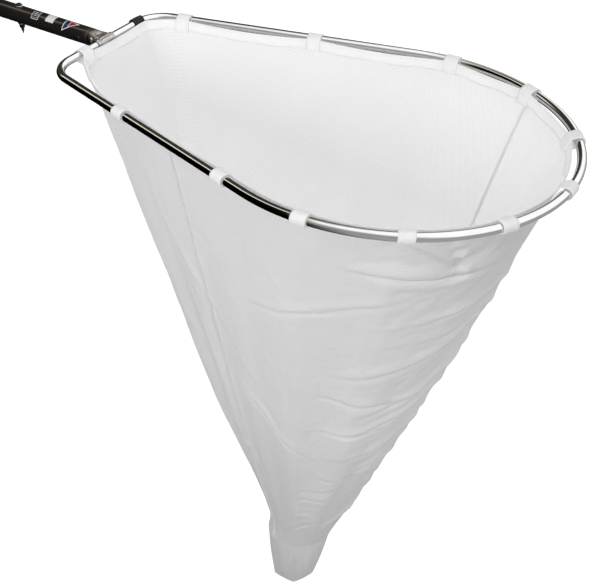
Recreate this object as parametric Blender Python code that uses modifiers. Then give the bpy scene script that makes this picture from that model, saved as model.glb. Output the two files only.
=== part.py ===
"""Leaf skimmer net: a pear-shaped tube hoop on a pole socket, with a deep mesh bag hung from webbing loops.

Metres, +Z up.  The origin is the centre of the socket's open mouth.  +X runs along the socket towards the
hoop, the hoop lies flat in the plane z = 0, and the bag hangs down along -Z.
"""
import math

import bmesh
import bpy
from mathutils import Matrix, Vector

# ---------------------------------------------------------------- driving dimensions
GAP = 0.0003                  # clearance between pieces that touch

HOOP_RADIUS = 0.00635         # half of the hoop tube's 12.7 mm diameter
HOOP_WALL = 0.0012
HOOP_HALF_WIDTH = 0.238       # centreline, where the hoop is widest
BAR_HALF_WIDTH = 0.1276       # centreline, at the straight bar
CORNER_RADIUS = 0.049
END_CENTRE = 0.502            # distance from the bar to the middle of the round end's ellipse
END_LENGTH = 0.266            # the ellipse's half length
HOOP_LENGTH = END_CENTRE + END_LENGTH

SOCKET_RADIUS = 0.014         # half of the pole socket's 28 mm diameter
SOCKET_WALL = 0.0015
SOCKET_LENGTH = 0.316
BAR_X = 0.340                 # the bar's axis, measured from the socket's mouth

YOKE_WIDTH = 0.034            # across the bar, at the saddle
YOKE_HEIGHT = 0.0215
YOKE_NOSE = 0.0045            # how far the saddle reaches past the bar's axis
SPIGOT_LENGTH = 0.030         # the yoke's length inside the socket

SLEEVE_RADIUS = 0.0080
SLEEVE_LENGTH = 0.038
DOWEL_LENGTH = 0.060
RIVET_RADIUS = 0.0016
RIVET_HEAD_RADIUS = 0.0030
SPLICE_RIVET_Y = 0.0125
SOCKET_RIVET_X = BAR_X - 0.042
BOSS_RADIUS = 0.0036          # the raised pad on the yoke's near cheek
BOSS_HEIGHT = 0.0014

BOLT_X = BAR_X - 0.179        # the locking bolt's axis
BOLT_RADIUS = 0.0025
BOLT_LENGTH = 0.044           # under the head
WASHER_RADIUS = 0.0062
WASHER_THICKNESS = 0.0011
NUT_HUB_RADIUS = 0.0050
NUT_HUB_HEIGHT = 0.0070
WING_SPAN = 0.0105            # from the bolt's axis to a wing's middle
WING_RADIUS = 0.0052
WING_THICKNESS = 0.0022
WING_TURN = math.radians(-40.0)   # which way the wings point at rest, from +X towards +Y

LABEL_THICKNESS = 0.0003
LABELS = (                    # name, distance from the bar, length along the socket, arc in degrees
    ("label_square", 0.1355, 0.015, 76.0),
    ("label_plain", 0.1045, 0.017, 66.0),
    ("label_pennant", 0.062, 0.028, 93.0),
)
LABEL_FAR_EDGE = 15.0         # degrees past the top of the tube, on the +Y side

LOOP_WIDTH = 0.022            # webbing width, along the tube
LOOP_INNER_RADIUS = HOOP_RADIUS + 0.0006
LOOP_OUTER_RADIUS = 0.0090
LOOP_STATIONS = (             # distance along the hoop from the middle of the bar to each loop
    0.1654, 0.3855, 0.6045, 0.746, 0.885, 1.019, 1.138, 1.265, 1.3975, 1.535, 1.7555, 1.9845,
)
STRAP_STATION = 0.0788
STRAP_WIDTH = 0.022
STRAP_INNER_RADIUS = HOOP_RADIUS + 0.0013
STRAP_OUTER_RADIUS = 0.0092

HEM_INSET = 0.0111            # from the tube's centreline to the middle of the hem
HEM_THICKNESS = 0.0024
HEM_TOP = 0.003
HEM_BOTTOM = -0.0125
POINTS_PER_SPAN = 2           # hem and bag points from one loop to the next

NET_THICKNESS = 0.0008
TAIL_X = BAR_X + 0.362        # the tail hangs below this point
TAIL_SEAM_Z = -0.930          # where the net ends and the tail pouch starts
TAIL_BOTTOM_Z = -1.095
TAIL_HALF_LENGTH = 0.062      # the tail seam's half size along X
TAIL_HALF_WIDTH = 0.046       # and along Y
NET_ROWS = 8
POUCH_ROWS = 4
NEAR_SEAM_SPAN = 1.5          # the long seams, in spans counted from the bar's loop on the -Y side
FAR_SEAM_SPAN = 8
SEAM_TAPE_WIDTH = 0.007
SEAM_TAPE_THICKNESS = 0.0007
SEAM_TAPE_STANDOFF = 0.0016   # clears the net's facets

COLLECTION_NAME = "leaf_skimmer_net"


# ---------------------------------------------------------------- scene and materials
def clear_scene():
    for obj in list(bpy.data.objects):
        bpy.data.objects.remove(obj, do_unlink=True)


def make_collection(name):
    collection = bpy.data.collections.new(name)
    bpy.context.scene.collection.children.link(collection)
    return collection


def material(name, colour, roughness, metallic=0.0):
    mat = bpy.data.materials.new(name)
    mat.use_nodes = True
    shader = mat.node_tree.nodes["Principled BSDF"]
    shader.inputs["Base Color"].default_value = (*colour, 1.0)
    shader.inputs["Roughness"].default_value = roughness
    shader.inputs["Metallic"].default_value = metallic
    return mat


LOOKS = {                     # colour, roughness, metallic
    "bright_tube": ((0.62, 0.61, 0.59), 0.22, 1.0),
    "dull_metal": ((0.46, 0.46, 0.47), 0.42, 1.0),
    "gunmetal": ((0.035, 0.032, 0.030), 0.28, 0.8),
    "zinc": ((0.60, 0.61, 0.62), 0.30, 1.0),
    "black_metal": ((0.015, 0.015, 0.016), 0.40, 0.6),
    "label": ((0.72, 0.72, 0.74), 0.35, 0.0),
    "white_webbing": ((0.86, 0.86, 0.85), 0.85, 0.0),
    "black_webbing": ((0.02, 0.02, 0.02), 0.80, 0.0),
    "white_net": ((0.80, 0.80, 0.81), 0.80, 0.0),
}


def add_object(name, mesh, look, collection, smooth=True):
    obj = bpy.data.objects.new(name, mesh)
    collection.objects.link(obj)
    mesh.materials.clear()
    mesh.materials.append(material(name, *LOOKS[look]))
    if smooth:
        mesh.shade_smooth()
        mesh.set_sharp_from_angle(angle=math.radians(35.0))
    return obj


def place(obj, location, direction=(0.0, 0.0, 1.0)):
    """Puts the object's own +Z along direction, with its origin at location."""
    obj.location = location
    obj.rotation_mode = "QUATERNION"
    obj.rotation_quaternion = Vector(direction).to_track_quat("Z", "Y")
    return obj


# ---------------------------------------------------------------- modelling helpers
def turned(name, profile, look, collection, closed=False, steps=24, degrees=360.0):
    """Turns a profile of (radius, height) points, listed from top to bottom, about the object's own Z."""
    mesh = bpy.data.meshes.new(name)
    edges = [(i, i + 1) for i in range(len(profile) - 1)]
    if closed:
        edges.append((len(profile) - 1, 0))
    mesh.from_pydata([(r, 0.0, z) for r, z in profile], edges, [])
    obj = add_object(name, mesh, look, collection, smooth=False)
    screw = obj.modifiers.new("Turn", "SCREW")
    screw.angle = math.radians(degrees)
    screw.steps = steps
    screw.render_steps = steps
    screw.use_smooth_shade = True
    if not closed:
        screw.use_merge_vertices = True
        screw.merge_threshold = 0.00001
    return obj


def ring_profile(inner, outer, length, chamfer=0.0):
    """A tube's wall, centred on the origin, as a closed profile."""
    top = length / 2.0
    if chamfer == 0.0:
        return [(outer, top), (outer, -top), (inner, -top), (inner, top)]
    return [
        (outer - chamfer, top), (outer, top - chamfer), (outer, -top + chamfer), (outer - chamfer, -top),
        (inner, -top), (inner, top),
    ]


def rod_profile(radius, top, bottom):
    return [(0.0, top), (radius, top), (radius, bottom), (0.0, bottom)]


def cut(obj, cutter, operation="DIFFERENCE"):
    boolean = obj.modifiers.new(cutter.name, "BOOLEAN")
    boolean.operation = operation
    boolean.solver = "EXACT"
    boolean.object = cutter


def rod_cutter(name, radius, length, location, direction, cutters, steps=16):
    """A round cutter whose middle is at location."""
    cutter = turned(name, rod_profile(radius, length / 2.0, -length / 2.0), "dull_metal", cutters, steps=steps)
    cutter.hide_render = True
    cutter.display_type = "WIRE"
    return place(cutter, location, direction)


def loft(name, rings, look, collection, caps="", around=True):
    """Joins rows of points with quads, top row first, counter-clockwise seen from above.

    caps names the ends to close: "first", "last" or "both".  Rows that don't go all the way around join
    end to end only.
    """
    mesh = bpy.data.meshes.new(name)
    bm = bmesh.new()
    rows = [[bm.verts.new(point) for point in ring] for ring in rings]
    count = len(rings[0])
    for upper, lower in zip(rows, rows[1:]):
        for i in range(count if around else count - 1):
            j = (i + 1) % count
            bm.faces.new((upper[i], lower[i], lower[j], upper[j]))
    if caps in ("first", "both"):
        bm.faces.new(rows[0])
    if caps in ("last", "both"):
        bm.faces.new(list(reversed(rows[-1])))
    if caps == "both":
        bmesh.ops.recalc_face_normals(bm, faces=bm.faces[:])
    bm.to_mesh(mesh)
    bm.free()
    return add_object(name, mesh, look, collection)


def thicken(obj, thickness, offset=-1.0):
    """Gives an open surface a wall.  An offset of -1 grows it inwards and 1 outwards."""
    solidify = obj.modifiers.new("Wall", "SOLIDIFY")
    solidify.thickness = thickness
    solidify.offset = offset
    solidify.use_even_offset = True


# ---------------------------------------------------------------- the hoop's centreline
def side_slope():
    """Slope of the straight side, the line tangent to both the corner arc and the end ellipse."""
    centre_y = BAR_HALF_WIDTH - CORNER_RADIUS

    def miss(slope):
        height = math.sqrt((slope * END_LENGTH) ** 2 + HOOP_HALF_WIDTH ** 2)
        across = slope * (CORNER_RADIUS - END_CENTRE) + height - centre_y
        return across - CORNER_RADIUS * math.sqrt(1.0 + slope * slope)

    low, high = 0.0, 1.0
    for _ in range(40):
        middle = (low + high) / 2.0
        if miss(middle) > 0.0:
            low = middle
        else:
            high = middle
    return low


def half_centreline(corner_steps=7, end_steps=28):
    """From the middle of the bar to the tip, on the +Y side, in the plane of the hoop."""
    slope = side_slope()
    centre_y = BAR_HALF_WIDTH - CORNER_RADIUS
    corner_sweep = math.pi / 2.0 - math.atan(slope)
    points = [Vector((BAR_X, 0.0)), Vector((BAR_X, SLEEVE_LENGTH))]
    for k in range(corner_steps + 1):
        angle = corner_sweep * k / corner_steps
        x = BAR_X + CORNER_RADIUS * (1.0 - math.cos(angle))
        points.append(Vector((x, centre_y + CORNER_RADIUS * math.sin(angle))))
    start = math.atan(-END_LENGTH * slope / HOOP_HALF_WIDTH)
    for k in range(end_steps + 1):
        angle = start + (math.pi / 2.0 - start) * k / end_steps
        x = BAR_X + END_CENTRE + END_LENGTH * math.sin(angle)
        points.append(Vector((x, HOOP_HALF_WIDTH * math.cos(angle))))
    return points


def centreline():
    """The whole hoop: bar, +Y side, tip, -Y side, bar."""
    half = half_centreline()
    other = [Vector((p.x, -p.y)) for p in reversed(half[:-1])]
    return half + other


def walk(distance):
    """The point on the hoop's centreline at a distance from the middle of the bar."""
    points = centreline()
    for a, b in zip(points, points[1:]):
        span = (b - a).length
        if distance <= span:
            return a.lerp(b, distance / span)
        distance -= span
    return points[-1]


def at_station(distance, width=LOOP_WIDTH):
    """Middle and unit direction of the stretch of hoop that a loop of this width covers."""
    start = walk(distance - width / 2.0)
    end = walk(distance + width / 2.0)
    return (start + end) / 2.0, (end - start).normalized()


def inward(direction):
    """Unit vector from the tube towards the inside of the hoop."""
    return Vector((direction.y, -direction.x))


# ---------------------------------------------------------------- frame
def make_hoop_tube(parts, cutters):
    """One bent tube, whose two open ends meet in the middle of the bar."""
    path = centreline()
    path[0].y += GAP / 2.0
    path[-1].y -= GAP / 2.0
    curve = bpy.data.curves.new("hoop_path", "CURVE")
    curve.dimensions = "3D"
    curve.bevel_depth = HOOP_RADIUS
    curve.bevel_resolution = 4
    curve.use_fill_caps = False
    spline = curve.splines.new("POLY")
    spline.points.add(len(path) - 1)
    for point, place_ in zip(spline.points, path):
        point.co = (place_.x, place_.y, 0.0, 1.0)
    guide = bpy.data.objects.new("hoop_path", curve)
    parts.objects.link(guide)
    bpy.context.view_layer.update()
    evaluated = guide.evaluated_get(bpy.context.evaluated_depsgraph_get())
    mesh = bpy.data.meshes.new_from_object(evaluated)
    mesh.name = "hoop_tube"
    bpy.data.objects.remove(guide, do_unlink=True)
    tube = add_object("hoop_tube", mesh, "bright_tube", parts)
    thicken(tube, HOOP_WALL)
    for cutter in splice_hole_cutters(cutters):
        cut(tube, cutter)


def splice_hole_cutters(cutters):
    """Two round holes through the hoop-side wall of the splice, one in each end of the hoop tube."""
    made = []
    for side, name in ((-1.0, "splice_hole_near"), (1.0, "splice_hole_far")):
        existing = bpy.data.objects.get(name)
        if existing is None:
            location = (BAR_X + SLEEVE_RADIUS, side * SPLICE_RIVET_Y, 0.0)
            existing = rod_cutter(name, RIVET_RADIUS + GAP, 0.012, location, (1.0, 0.0, 0.0), cutters, steps=12)
        made.append(existing)
    return made


def make_splice(parts, cutters):
    """Sleeve outside and dowel inside the butted tube ends, with a blind rivet through each end."""
    bar_axis = (0.0, 1.0, 0.0)
    middle = (BAR_X, 0.0, 0.0)
    sleeve_wall = ring_profile(HOOP_RADIUS + GAP, SLEEVE_RADIUS, SLEEVE_LENGTH, chamfer=0.0005)
    sleeve = turned("splice_sleeve", sleeve_wall, "dull_metal", parts, closed=True)
    dowel_radius = HOOP_RADIUS - HOOP_WALL - GAP
    dowel_shape = rod_profile(dowel_radius, DOWEL_LENGTH / 2.0, -DOWEL_LENGTH / 2.0)
    dowel = turned("splice_dowel", dowel_shape, "dull_metal", parts, steps=16)
    for piece in (sleeve, dowel):
        place(piece, middle, bar_axis)
        for cutter in splice_hole_cutters(cutters):
            cut(piece, cutter)
    for side, name in ((-1.0, "splice_rivet_near"), (1.0, "splice_rivet_far")):
        rivet(name, (BAR_X + SLEEVE_RADIUS, side * SPLICE_RIVET_Y, 0.0), (1.0, 0.0, 0.0), 0.0050, parts)


def rivet(name, location, direction, shank, parts):
    """A domed rivet.  Its head sits just clear of the surface at location and its shank points inwards."""
    head = RIVET_HEAD_RADIUS
    profile = [
        (0.0, 0.0016), (head * 0.55, 0.0014), (head * 0.9, 0.0009), (head, GAP),
        (RIVET_RADIUS, GAP), (RIVET_RADIUS, -shank), (0.0, -shank),
    ]
    return place(turned(name, profile, "dull_metal", parts, steps=12), location, direction)


def stadium(half_width, half_height, count):
    """Points of a flattened round section, as (y, z), counter-clockwise."""
    points = []
    straight = max(half_width - half_height, 0.0)
    for k in range(count):
        angle = 2.0 * math.pi * (k + 0.5) / count
        y = half_height * math.cos(angle)
        points.append((y + math.copysign(straight, y), half_height * math.sin(angle)))
    return points


def make_yoke(parts, cutters):
    """Casting that plugs the socket and flattens into a saddle round the bar, with a pad on its near cheek."""
    start = SOCKET_LENGTH - BAR_X + GAP
    stages = (                # distance from the bar, half width and half height of the section
        (start - SPIGOT_LENGTH, SOCKET_RADIUS - SOCKET_WALL - GAP, SOCKET_RADIUS - SOCKET_WALL - GAP),
        (start, SOCKET_RADIUS - SOCKET_WALL - GAP, SOCKET_RADIUS - SOCKET_WALL - GAP),
        (start, SOCKET_RADIUS, SOCKET_RADIUS),
        (start + 0.005, SOCKET_RADIUS, SOCKET_RADIUS * 0.96),
        (start + 0.012, YOKE_WIDTH * 0.43, YOKE_HEIGHT * 0.57),
        (-0.006, YOKE_WIDTH * 0.50, YOKE_HEIGHT * 0.50),
        (YOKE_NOSE, YOKE_WIDTH * 0.50, YOKE_HEIGHT * 0.48),
    )
    rings = []
    for x, half_width, half_height in stages:
        section = stadium(half_width, half_height, 24)
        rings.append([(BAR_X + x, y, z) for y, z in section])
    yoke = loft("yoke", rings, "dull_metal", parts, caps="both")
    boss_place = (BAR_X - 0.0155, -YOKE_WIDTH * 0.42 + 0.002, 0.0030)
    boss = rod_cutter("boss", BOSS_RADIUS, 2.0 * (BOSS_HEIGHT + 0.002), boss_place, (0.0, -1.0, 0.25),
                      cutters, steps=20)
    cut(yoke, boss, operation="UNION")
    saddle = rod_cutter("saddle", SLEEVE_RADIUS + GAP, 0.08, (BAR_X, 0.0, 0.0), (0.0, 1.0, 0.0), cutters, steps=32)
    cut(yoke, saddle)
    mouth = rod_cutter("saddle_mouth", SLEEVE_RADIUS - 0.0008, 0.08,
                       (BAR_X + 0.0075, 0.0, 0.0), (0.0, 1.0, 0.0), cutters, steps=24)
    cut(yoke, mouth)
    for cutter in socket_hole_cutters(cutters):
        cut(yoke, cutter)


# ---------------------------------------------------------------- pole socket
def socket_hole_cutters(cutters):
    """Rivet holes through the socket into the yoke's spigot."""
    made = []
    for side, name in ((-1.0, "socket_hole_near"), (1.0, "socket_hole_far")):
        existing = bpy.data.objects.get(name)
        if existing is None:
            location = (SOCKET_RIVET_X, side * SOCKET_RADIUS, 0.0)
            existing = rod_cutter(name, RIVET_RADIUS + GAP, 0.013, location, (0.0, side, 0.0), cutters, steps=12)
        made.append(existing)
    return made


def make_socket(parts, cutters):
    wall = ring_profile(SOCKET_RADIUS - SOCKET_WALL, SOCKET_RADIUS, SOCKET_LENGTH, chamfer=0.0004)
    tube = turned("socket_tube", wall, "gunmetal", parts, closed=True, steps=32)
    place(tube, (SOCKET_LENGTH / 2.0, 0.0, 0.0), (1.0, 0.0, 0.0))
    bolt_hole = rod_cutter("bolt_hole", BOLT_RADIUS + GAP, 0.04, (BOLT_X, 0.0, 0.0), (0.0, 0.0, 1.0), cutters)
    cut(tube, bolt_hole)
    for cutter in socket_hole_cutters(cutters):
        cut(tube, cutter)
    for side, name in ((-1.0, "socket_rivet_near"), (1.0, "socket_rivet_far")):
        rivet(name, (SOCKET_RIVET_X, side * SOCKET_RADIUS, 0.0), (0.0, side, 0.0), 0.0060, parts)


def make_locking_bolt(parts, cutters):
    """A bolt down through the socket, washers above and below, and a wing nut underneath."""
    washer_wall = ring_profile(BOLT_RADIUS + GAP, WASHER_RADIUS, WASHER_THICKNESS, chamfer=0.0002)
    top = SOCKET_RADIUS + GAP + WASHER_THICKNESS / 2.0
    place(turned("bolt_washer", washer_wall, "zinc", parts, closed=True, steps=20), (BOLT_X, 0.0, top))
    place(turned("nut_washer", washer_wall, "zinc", parts, closed=True, steps=20), (BOLT_X, 0.0, -top))

    seat = SOCKET_RADIUS + WASHER_THICKNESS + 2.0 * GAP
    head = [
        (0.0, 0.0032), (0.0022, 0.0030), (0.0039, 0.0022), (0.0046, 0.0011), (0.0046, 0.0),
        (BOLT_RADIUS, 0.0), (BOLT_RADIUS, -BOLT_LENGTH + 0.0006), (BOLT_RADIUS - 0.0006, -BOLT_LENGTH),
        (0.0, -BOLT_LENGTH),
    ]
    place(turned("lock_bolt", head, "black_metal", parts, steps=16), (BOLT_X, 0.0, seat))
    make_wing_nut((BOLT_X, 0.0, -seat), parts, cutters)


def make_wing_nut(location, parts, cutters):
    """A hub with two round wings.  Its origin is the top of the hub, on the bolt's axis."""
    hub_wall = [
        (NUT_HUB_RADIUS - 0.0005, 0.0), (NUT_HUB_RADIUS, -0.0005), (NUT_HUB_RADIUS * 0.85, -NUT_HUB_HEIGHT),
        (BOLT_RADIUS + GAP, -NUT_HUB_HEIGHT), (BOLT_RADIUS + GAP, 0.0),
    ]
    hub = place(turned("wing_nut", hub_wall, "black_metal", parts, closed=True, steps=20), location)
    along = Vector((math.cos(WING_TURN), math.sin(WING_TURN), 0.0))
    across = (-along.y, along.x, 0.0)
    for side in (-1.0, 1.0):
        drop = Vector((0.0, 0.0, -WING_RADIUS - 0.0026))
        middle = Vector(location) + along * side * WING_SPAN * 0.78 + drop
        wing = rod_cutter("wing_%s" % ("a" if side < 0.0 else "b"), WING_RADIUS, WING_THICKNESS,
                          middle, across, cutters, steps=16)
        cut(hub, wing, operation="UNION")


def make_labels(parts):
    """Blank stickers curved over the top of the socket, towards the -Y side."""
    for name, from_bar, length, arc in LABELS:
        edge = [(SOCKET_RADIUS + GAP, length / 2.0), (SOCKET_RADIUS + GAP, -length / 2.0)]
        sticker = turned(name, edge, "label", parts, steps=10, degrees=arc)
        thicken(sticker, LABEL_THICKNESS, offset=1.0)
        middle_of_arc = math.radians(arc / 2.0)
        lean = math.radians(arc / 2.0 - LABEL_FAR_EDGE)
        # the profile starts on the sticker's own +X and turns about its own Z, which lies along the socket
        around = math.pi - middle_of_arc + lean
        turn = Matrix.Rotation(math.pi / 2.0, 4, "Y") @ Matrix.Rotation(around, 4, "Z")
        sticker.matrix_world = Matrix.Translation((BAR_X - from_bar, 0.0, 0.0)) @ turn


# ---------------------------------------------------------------- webbing, hem and bag
def make_loops(parts):
    """Twelve webbing loops round the hoop tube."""
    wall = ring_profile(LOOP_INNER_RADIUS, LOOP_OUTER_RADIUS, LOOP_WIDTH)
    for k, station in enumerate(LOOP_STATIONS):
        point, direction = at_station(station)
        loop = turned("loop_%02d" % (k + 1), wall, "white_webbing", parts, closed=True, steps=20)
        place(loop, (point.x, point.y, 0.0), (direction.x, direction.y, 0.0))


def make_strap(parts):
    """The black retaining strap at the far end of the bar."""
    wall = ring_profile(STRAP_INNER_RADIUS, STRAP_OUTER_RADIUS, STRAP_WIDTH)
    point, direction = at_station(STRAP_STATION, STRAP_WIDTH)
    strap = turned("black_strap", wall, "black_webbing", parts, closed=True, steps=20)
    place(strap, (point.x, point.y, 0.0), (direction.x, direction.y, 0.0))


def hem_corners():
    """Where the hem turns, just inside the tube at each loop.

    They start at the bar's loop on the -Y side and run counter-clockwise seen from above.
    """
    corners = []
    for station in reversed((STRAP_STATION,) + LOOP_STATIONS):
        point, direction = at_station(station)
        corners.append(point + inward(direction) * HEM_INSET)
    return corners


def subdivide(corners):
    """Points along the straight spans of a closed outline."""
    outline = []
    for corner, following in zip(corners, corners[1:] + corners[:1]):
        for step in range(POINTS_PER_SPAN):
            outline.append(corner.lerp(following, step / POINTS_PER_SPAN))
    return outline


def tail_corners():
    """The tail seam's outline, with one corner below each corner of the hem."""
    middle_x = BAR_X + HOOP_LENGTH * 0.5
    corners = []
    for p in hem_corners():
        angle = math.atan2(p.y / HOOP_HALF_WIDTH, (p.x - middle_x) / (HOOP_LENGTH * 0.5))
        offset = Vector((TAIL_HALF_LENGTH * math.cos(angle), TAIL_HALF_WIDTH * math.sin(angle)))
        corners.append(Vector((TAIL_X, 0.0)) + offset)
    return corners


def level_ring(points, z):
    return [(p.x, p.y, z) for p in points]


def make_hem(parts):
    outline = subdivide(hem_corners())
    band = loft("hem_band", [level_ring(outline, z) for z in (HEM_TOP, HEM_BOTTOM)], "white_webbing", parts)
    thicken(band, HEM_THICKNESS, offset=0.0)


def net_rings():
    """Rings from the hem down to the tail seam, on straight lines."""
    hem = subdivide(hem_corners())
    tail = subdivide(tail_corners())
    top = HEM_BOTTOM - GAP
    rings = []
    for row in range(NET_ROWS + 1):
        share = row / NET_ROWS
        ring = [upper.lerp(lower, share) for upper, lower in zip(hem, tail)]
        rings.append(level_ring(ring, top + (TAIL_SEAM_Z - top) * share))
    return rings


def make_net_panels(parts):
    """The net's two panels, which meet at the long seams."""
    near_seam = int(NEAR_SEAM_SPAN * POINTS_PER_SPAN)
    far_seam = int(FAR_SEAM_SPAN * POINTS_PER_SPAN)
    near_rows = []
    far_rows = []
    for ring in net_rings():
        near_rows.append(shorten(ring[near_seam:far_seam + 1]))
        far_rows.append(shorten(ring[far_seam:] + ring[:near_seam + 1]))
    for name, rows in (("net_panel_near", near_rows), ("net_panel_far", far_rows)):
        thicken(loft(name, rows, "white_net", parts, around=False), NET_THICKNESS)


def shorten(row):
    """Draws both ends of a row in by one gap, so that the panels don't touch at the seam."""
    first, second, before_last, last = (Vector(row[k]) for k in (0, 1, -2, -1))
    row[0] = tuple(first + (second - first).normalized() * GAP * 2.0)
    row[-1] = tuple(last + (before_last - last).normalized() * GAP * 2.0)
    return row


def make_tail_pouch(parts):
    """The blunt tail below the net."""
    centre = Vector((TAIL_X, 0.0))
    rings = []
    for row in range(POUCH_ROWS + 1):
        share = row / POUCH_ROWS
        size = math.sqrt(1.0 - 0.72 * share * share)
        ring = [centre + (p - centre) * size for p in tail_corners()]
        rings.append(level_ring(ring, TAIL_SEAM_Z - GAP + (TAIL_BOTTOM_Z - TAIL_SEAM_Z) * share))
    thicken(loft("tail_pouch", rings, "white_net", parts, caps="last"), NET_THICKNESS)


def make_seam_tapes(parts):
    """Tapes over the long seams, just outside the net, from the hem to the tail seam."""
    up = Vector((0.0, 0.0, 1.0))
    for name, span in (("seam_tape_near", NEAR_SEAM_SPAN), ("seam_tape_far", FAR_SEAM_SPAN)):
        column = int(span * POINTS_PER_SPAN)
        rows = []
        for ring in net_rings()[:-1]:
            along = (Vector(ring[column + 1]) - Vector(ring[column - 1])).normalized()
            middle = Vector(ring[column]) + along.cross(up) * SEAM_TAPE_STANDOFF
            half = along * (SEAM_TAPE_WIDTH / 2.0)
            rows.append([tuple(middle - half), tuple(middle + half)])
        tape = loft(name, rows, "white_webbing", parts, around=False)
        thicken(tape, SEAM_TAPE_THICKNESS, offset=1.0)


def main():
    clear_scene()
    parts = make_collection(COLLECTION_NAME)
    cutters = make_collection("cutters")
    make_hoop_tube(parts, cutters)
    make_splice(parts, cutters)
    make_yoke(parts, cutters)
    make_socket(parts, cutters)
    make_locking_bolt(parts, cutters)
    make_labels(parts)
    make_loops(parts)
    make_strap(parts)
    make_hem(parts)
    make_net_panels(parts)
    make_tail_pouch(parts)
    make_seam_tapes(parts)


main()
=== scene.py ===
"""Looks of the leaf skimmer net: hoop, socket, webbing, hem and hanging mesh bag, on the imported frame."""

import math

import bpy
import numpy as np
from mathutils import Matrix, Vector


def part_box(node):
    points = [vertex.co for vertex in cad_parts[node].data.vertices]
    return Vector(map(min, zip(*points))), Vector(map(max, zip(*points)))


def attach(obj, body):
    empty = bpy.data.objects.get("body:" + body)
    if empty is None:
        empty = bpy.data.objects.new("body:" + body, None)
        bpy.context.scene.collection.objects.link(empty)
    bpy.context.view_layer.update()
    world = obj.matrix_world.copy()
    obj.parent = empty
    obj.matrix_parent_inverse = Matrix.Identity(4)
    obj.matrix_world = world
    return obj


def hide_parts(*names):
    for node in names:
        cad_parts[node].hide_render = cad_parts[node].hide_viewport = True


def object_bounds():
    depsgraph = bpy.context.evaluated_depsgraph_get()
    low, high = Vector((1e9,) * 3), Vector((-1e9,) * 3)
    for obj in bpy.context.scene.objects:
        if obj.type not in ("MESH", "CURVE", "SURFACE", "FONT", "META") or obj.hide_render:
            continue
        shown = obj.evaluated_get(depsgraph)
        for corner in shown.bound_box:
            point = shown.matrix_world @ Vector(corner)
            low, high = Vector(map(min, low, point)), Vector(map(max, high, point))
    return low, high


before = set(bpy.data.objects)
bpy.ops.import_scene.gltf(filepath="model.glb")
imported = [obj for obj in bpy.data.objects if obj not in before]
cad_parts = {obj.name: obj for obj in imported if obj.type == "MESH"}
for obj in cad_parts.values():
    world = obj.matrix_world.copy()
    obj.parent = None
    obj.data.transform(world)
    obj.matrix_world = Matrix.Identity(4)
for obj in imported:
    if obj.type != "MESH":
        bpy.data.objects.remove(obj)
cad_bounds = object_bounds()

MM = 0.001
UP = np.array([0.0, 0.0, 1.0])

# ---------------------------------------------------------------- sizes read from the frame
hoop_low, hoop_high = (np.array(corner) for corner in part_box("hoop_tube"))
TUBE_RADIUS = (hoop_high[2] - hoop_low[2]) / 2.0
BAR_X = hoop_low[0] + TUBE_RADIUS
TIP_X = hoop_high[0] - TUBE_RADIUS
HOOP_HALF_WIDTH = hoop_high[1] - TUBE_RADIUS

# the hoop's centreline, as the CAD model draws it
BAR_HALF_WIDTH = 0.1276
CORNER_RADIUS = 0.049
END_CENTRE = 0.502
END_LENGTH = TIP_X - BAR_X - END_CENTRE

hem_low, hem_high = (np.array(corner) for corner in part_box("hem_band"))
HEM_TOP = hem_high[2]
HEM_HEIGHT = hem_high[2] - hem_low[2]
HEM_INSET = 11.1 * MM

pouch_low, pouch_high = (np.array(corner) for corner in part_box("tail_pouch"))
TAIL_CENTRE = (pouch_low + pouch_high) / 2.0
TAIL_TOP = pouch_high[2]
TAIL_BOTTOM = pouch_low[2]

socket_low, socket_high = (np.array(corner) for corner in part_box("socket_tube"))
SOCKET_RADIUS = (socket_high[2] - socket_low[2]) / 2.0

LOOPS = ["loop_%02d" % k for k in range(1, 13)]
LOOP_WIDTH = 22.0 * MM


# ---------------------------------------------------------------- small helpers
def unit(v):
    v = np.asarray(v, float)
    return v / np.maximum(np.linalg.norm(v, axis=-1, keepdims=True), 1e-12)


def catmull_rom(a, b, c, d, t):
    """The point a share t of the way from b to c, on the curve through all four."""
    return 0.5 * (2 * b + (c - a) * t + (2 * a - 5 * b + 4 * c - d) * t * t
                  + (3 * b - a - 3 * c + d) * t ** 3)


def smooth_path(points, count):
    """A smooth curve through the points, sampled evenly along its length."""
    p = np.asarray(points, float)
    p = np.vstack([2 * p[0] - p[1], p, 2 * p[-1] - p[-2]])
    dense = []
    t = np.linspace(0.0, 1.0, 24, endpoint=False)[:, None]
    for a, b, c, d in zip(p, p[1:], p[2:], p[3:]):
        dense.append(catmull_rom(a, b, c, d, t))
    return resample(np.vstack(dense + [p[-2][None]]), count)


def resample(points, count, closed=False):
    p = np.vstack([points, points[:1]]) if closed else points
    length = np.concatenate([[0.0], np.cumsum(np.linalg.norm(np.diff(p, axis=0), axis=1))])
    stations = np.linspace(0.0, length[-1], count, endpoint=not closed)
    return np.stack([np.interp(stations, length, p[:, k]) for k in range(p.shape[1])], axis=1)


def arc_lengths(points):
    return np.concatenate([[0.0], np.cumsum(np.linalg.norm(np.diff(points, axis=0), axis=1))])


def add_mesh(name, verts, faces, uvs=None, sharp_degrees=None):
    """A mesh object from points and faces, with one UV pair per face corner, in metres."""
    mesh = bpy.data.meshes.new(name)
    mesh.from_pydata([tuple(v) for v in verts], [], [tuple(f) for f in faces])
    if uvs is not None:
        layer = mesh.uv_layers.new(name="metres")
        layer.data.foreach_set("uv", np.asarray(uvs, np.float32).ravel())
    mesh.validate()
    mesh.update()
    mesh.shade_smooth()
    if sharp_degrees is not None:
        mesh.set_sharp_from_angle(angle=math.radians(sharp_degrees))
    obj = bpy.data.objects.new(name, mesh)
    bpy.context.scene.collection.objects.link(obj)
    return obj


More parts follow.
